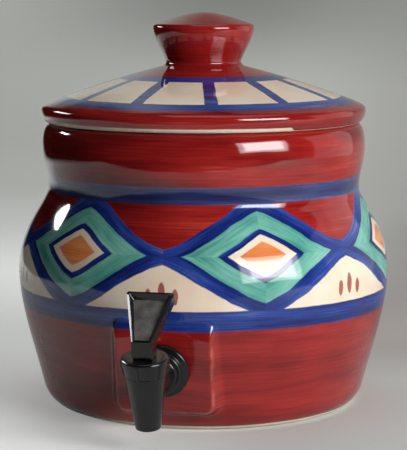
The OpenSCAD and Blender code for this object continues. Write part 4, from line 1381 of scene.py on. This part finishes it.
backdrop = sweep(width=7.0, front=-3.0, back=1.6, height=2.2, radius=0.8)
print("sweep:", len(backdrop.data.polygons), "faces")

# %% The paper's tones
back_h = 0.3
# Painted light and shade on the paper: the left floor paler, and on the right floor a painted shadow some
# way behind the pot.
left_floor_shades = shades((0.0, 250, 250, 247), (0.35, 231, 231, 228))
right_floor_shades = shades(
    (0.08, 213, 217, 213), (0.20, 182, 175, 172), (0.42, 180, 173, 170), (0.74, 204, 201, 197)
)
left_back_shades = shades(
    (0.02, 228, 230, 226), (0.10, 209, 213, 207), (0.26, 192, 196, 190), (0.90, 204, 209, 203)
)
right_back_shades = shades((0.03, 216, 216, 212), (0.45, 210, 211, 206), (0.90, 187, 190, 184))
valley_shade = tint(146, 149, 145)


def paper_tone(n, x, y, z, dark):
    """The paper's colour, with its painted light and shade, on the floor and up the backdrop, by its place
    in metres.
    """
    up = n.math("DIVIDE", z, back_h)
    left_floor, right_floor = n.ramp(y, *left_floor_shades), n.ramp(y, *right_floor_shades)
    left_back, right_back = n.ramp(up, *left_back_shades), n.ramp(up, *right_back_shades)
    floor = n.mix(n.rise(x, -0.08, 0.08), left_floor, right_floor)
    back = n.mix(n.rise(x, -0.5, -0.05), left_back, right_back)
    return n.mix(n.rise(z, 0.0, 0.02), floor, n.mix(dark, back, valley_shade))


print("the ramps up the backdrop end", back_h, "m above the floor")

# %% Material: the sweep's paper
left_glow_shades = shades((0.0, 156, 158, 156), (0.5, 186, 189, 188), (1.0, 130, 132, 128))
right_glow_shades = shades((0.0, 26, 34, 34), (0.25, 104, 101, 98), (0.8, 94, 95, 93))
no_glow, dark_paper, dark_bounce = tint(0, 0, 0), tint(50, 50, 50), tint(30, 30, 30)
left_bounce, right_bounce = tint(205, 203, 200), tint(190, 188, 185)
valley_x, valley_half, valley_depth = -0.25, 0.45, 0.64


def paper_sheet():
    """Pale paper with an uneven tone, which throws back little light onto the pot's shaded side."""
    material = bpy.data.materials.new("paper_sweep")
    material.use_nodes = True
    n = Nodes(material.node_tree)
    shader = n.tree.nodes["Principled BSDF"]
    x, y, z = n.split(n.add("ShaderNodeTexCoord", out="Object"))
    rays = ("Is Camera Ray", "Is Diffuse Ray", "Is Glossy Ray")
    seen, bounced, mirrored = (n.add("ShaderNodeLightPath", out=ray) for ray in rays)
    near = n.math("MULTIPLY", n.rise(x, -1.0, -0.7), n.rise(y, -0.52, -0.48))
    pale = n.math("MAXIMUM", near, seen)
    # Painted shade: the backdrop dims in a valley behind the pot, a little to the left.
    from_valley = n.math("ABSOLUTE", n.math("ADD", x, -valley_x))
    beside = n.math("MULTIPLY", n.rise(from_valley, 0.0, valley_half), valley_depth)
    valley = n.math("SUBTRACT", valley_depth, beside)
    dark = n.math("MULTIPLY", n.rise(z, 0.14, 0.27), valley)

    tone = n.mix(pale, dark_paper, paper_tone(n, x, y, z, dark))
    bounce = n.mix(n.rise(x, -0.10, 0.25), left_bounce, right_bounce)
    bounce = n.mix(near, dark_bounce, bounce)
    n.feed(shader.inputs["Base Color"], n.mix(bounced, tone, bounce))

    left_glow, right_glow = n.ramp(y, *left_glow_shades), n.ramp(y, *right_glow_shades)
    glow = n.mix(n.rise(x, -0.15, 0.10), left_glow, right_glow)
    n.feed(shader.inputs["Emission Color"], n.mix(pale, no_glow, glow))
    mirror_gain = n.math("MULTIPLY_ADD", n.rise(y, 0.3, 0.8), 0.7, 0.5)
    mirror_gain = n.math("MULTIPLY_ADD", n.math("SUBTRACT", 1, n.rise(x, -0.8, -0.3)), 0.8, mirror_gain)
    gain = n.math("MAXIMUM", seen, n.math("MULTIPLY", mirrored, mirror_gain))
    dimmed = n.math("SUBTRACT", 1, n.math("MULTIPLY", dark, 0.9))
    n.feed(shader.inputs["Emission Strength"], n.math("MULTIPLY", gain, dimmed))

    shader.inputs["Roughness"].default_value = 0.9
    shader.inputs["Specular IOR Level"].default_value = 0.1
    from_behind = n.add("ShaderNodeNewGeometry", out="Backfacing")
    n.feed(shader.inputs["Alpha"], n.math("SUBTRACT", 1, from_behind))
    return material


paper = paper_sheet()
backdrop.data.materials.append(paper)
print("paper:", len(paper.node_tree.nodes), "nodes")

# %% [markdown]
# ## Lights
#
# A large soft light stands to the right of the camera, a little above the pot. A smaller one just in front
# of it makes its middle brighter, as a real softbox is. Their shapes show in the glaze, so their size
# matters as much as their strength.
#
# Four small lamps on the left, level with the pot or a little behind it, draw its lit edges. A photographer
# would shade such a lamp with cards, so that it reaches one thing alone. Light linking does the same: each
# lamp gets a collection that holds the pieces it may light. A lamp overhead and a card at the right, behind
# the pot, fill in the rest.

# %% Softboxes
target = Vector((0, 0, 0.13))


def softbox(name, azimuth, elevation, distance, width, height, power):
    """A rectangular light that faces the pot; azimuth 0 is in front of the tap, 90 on its right."""
    light = bpy.data.lights.new(name, "AREA")
    light.shape = "RECTANGLE"
    light.size, light.size_y, light.energy = width, height, power
    obj = new_object(name, light)
    a, e = math.radians(azimuth), math.radians(elevation)
    away = Vector((math.sin(a) * math.cos(e), -math.cos(a) * math.cos(e), math.sin(e)))
    obj.location = target + away * distance
    obj.rotation_euler = (-away).to_track_quat("-Z", "Y").to_euler()
    return obj


softbox("key_softbox", 53.7, 16.5, 1.5, 0.95, 0.65, 11.5)
softbox("key_core", 53.7, 16.5, 1.48, 0.74, 0.48, 10.0)
edge_light = softbox("edge_light", -108.5, 21, 1.5, 0.28, 0.11, 2.0)
lid_light = softbox("lid_light", -108.5, 21, 1.5, 0.55, 0.24, 4.5)
lever_light = softbox("lever_light", -84.5, 23.7, 1.5, 0.16, 0.16, 1.8)
bonnet_light = softbox("bonnet_light", -107.5, 31.3, 1.5, 0.55, 0.40, 14.0)
softbox("overhead", 100, 84, 2.0, 1.4, 1.4, 4.8)
softbox("side_card", 115, 8, 1.3, 1.1, 1.3, 2.6)
print("softboxes:", ", ".join(light.name for light in bpy.data.lights))

# %% Keep each small lamp to its pieces
lit_by = {
    edge_light: (crock, tap_body, bonnet, lever), lid_light: (lid,), lever_light: (lever, bonnet),
    bonnet_light: (bonnet,),
}
for light, pieces in lit_by.items():
    lit = bpy.data.collections.new("lit_by_" + light.name)
    for piece in pieces:
        lit.objects.link(piece)
    light.light_linking.receiver_collection = lit
    print(light.name, "lights", ", ".join(piece.name for piece in pieces))

# %% [markdown]
# ## Room and camera
#
# The room is a plain grey. It shows to the camera beyond the paper and gives the pot next to no light. The
# camera stands a little to the right of the tap and looks slightly down, through a long lens that keeps the
# pot's sides upright.

# %% The room and the camera
room_seen, room_light = 0.97, 0.03
world = bpy.data.worlds.new("studio")
world.use_nodes = True
sky = Nodes(world.node_tree)
room = world.node_tree.nodes["Background"]
room.inputs["Color"].default_value = tint(150, 152, 152)
to_camera = sky.add("ShaderNodeLightPath", out="Is Camera Ray")
sky.feed(room.inputs["Strength"], sky.math("MULTIPLY_ADD", to_camera, room_seen, room_light))
bpy.context.scene.world = world

view_azimuth, view_distance, view_height, view_pitch = 12.0, 1.29, 0.2996, 7.74
camera = new_object("camera", bpy.data.cameras.new("camera"))
camera.data.sensor_fit = "VERTICAL"
camera.data.sensor_height = 36.0
camera.data.lens = 144.6
view_turn = math.radians(view_azimuth)
camera.location = (math.sin(view_turn) * view_distance, -math.cos(view_turn) * view_distance, view_height)
camera.rotation_euler = (math.radians(90 - view_pitch), 0, view_turn)
bpy.context.scene.camera = camera
bpy.context.scene.view_settings.view_transform = "Standard"
print("camera", view_azimuth, "degrees to the right of the tap")

# %% [markdown]
# The finished pieces must fill the same box as the construction, give or take a fine edge.
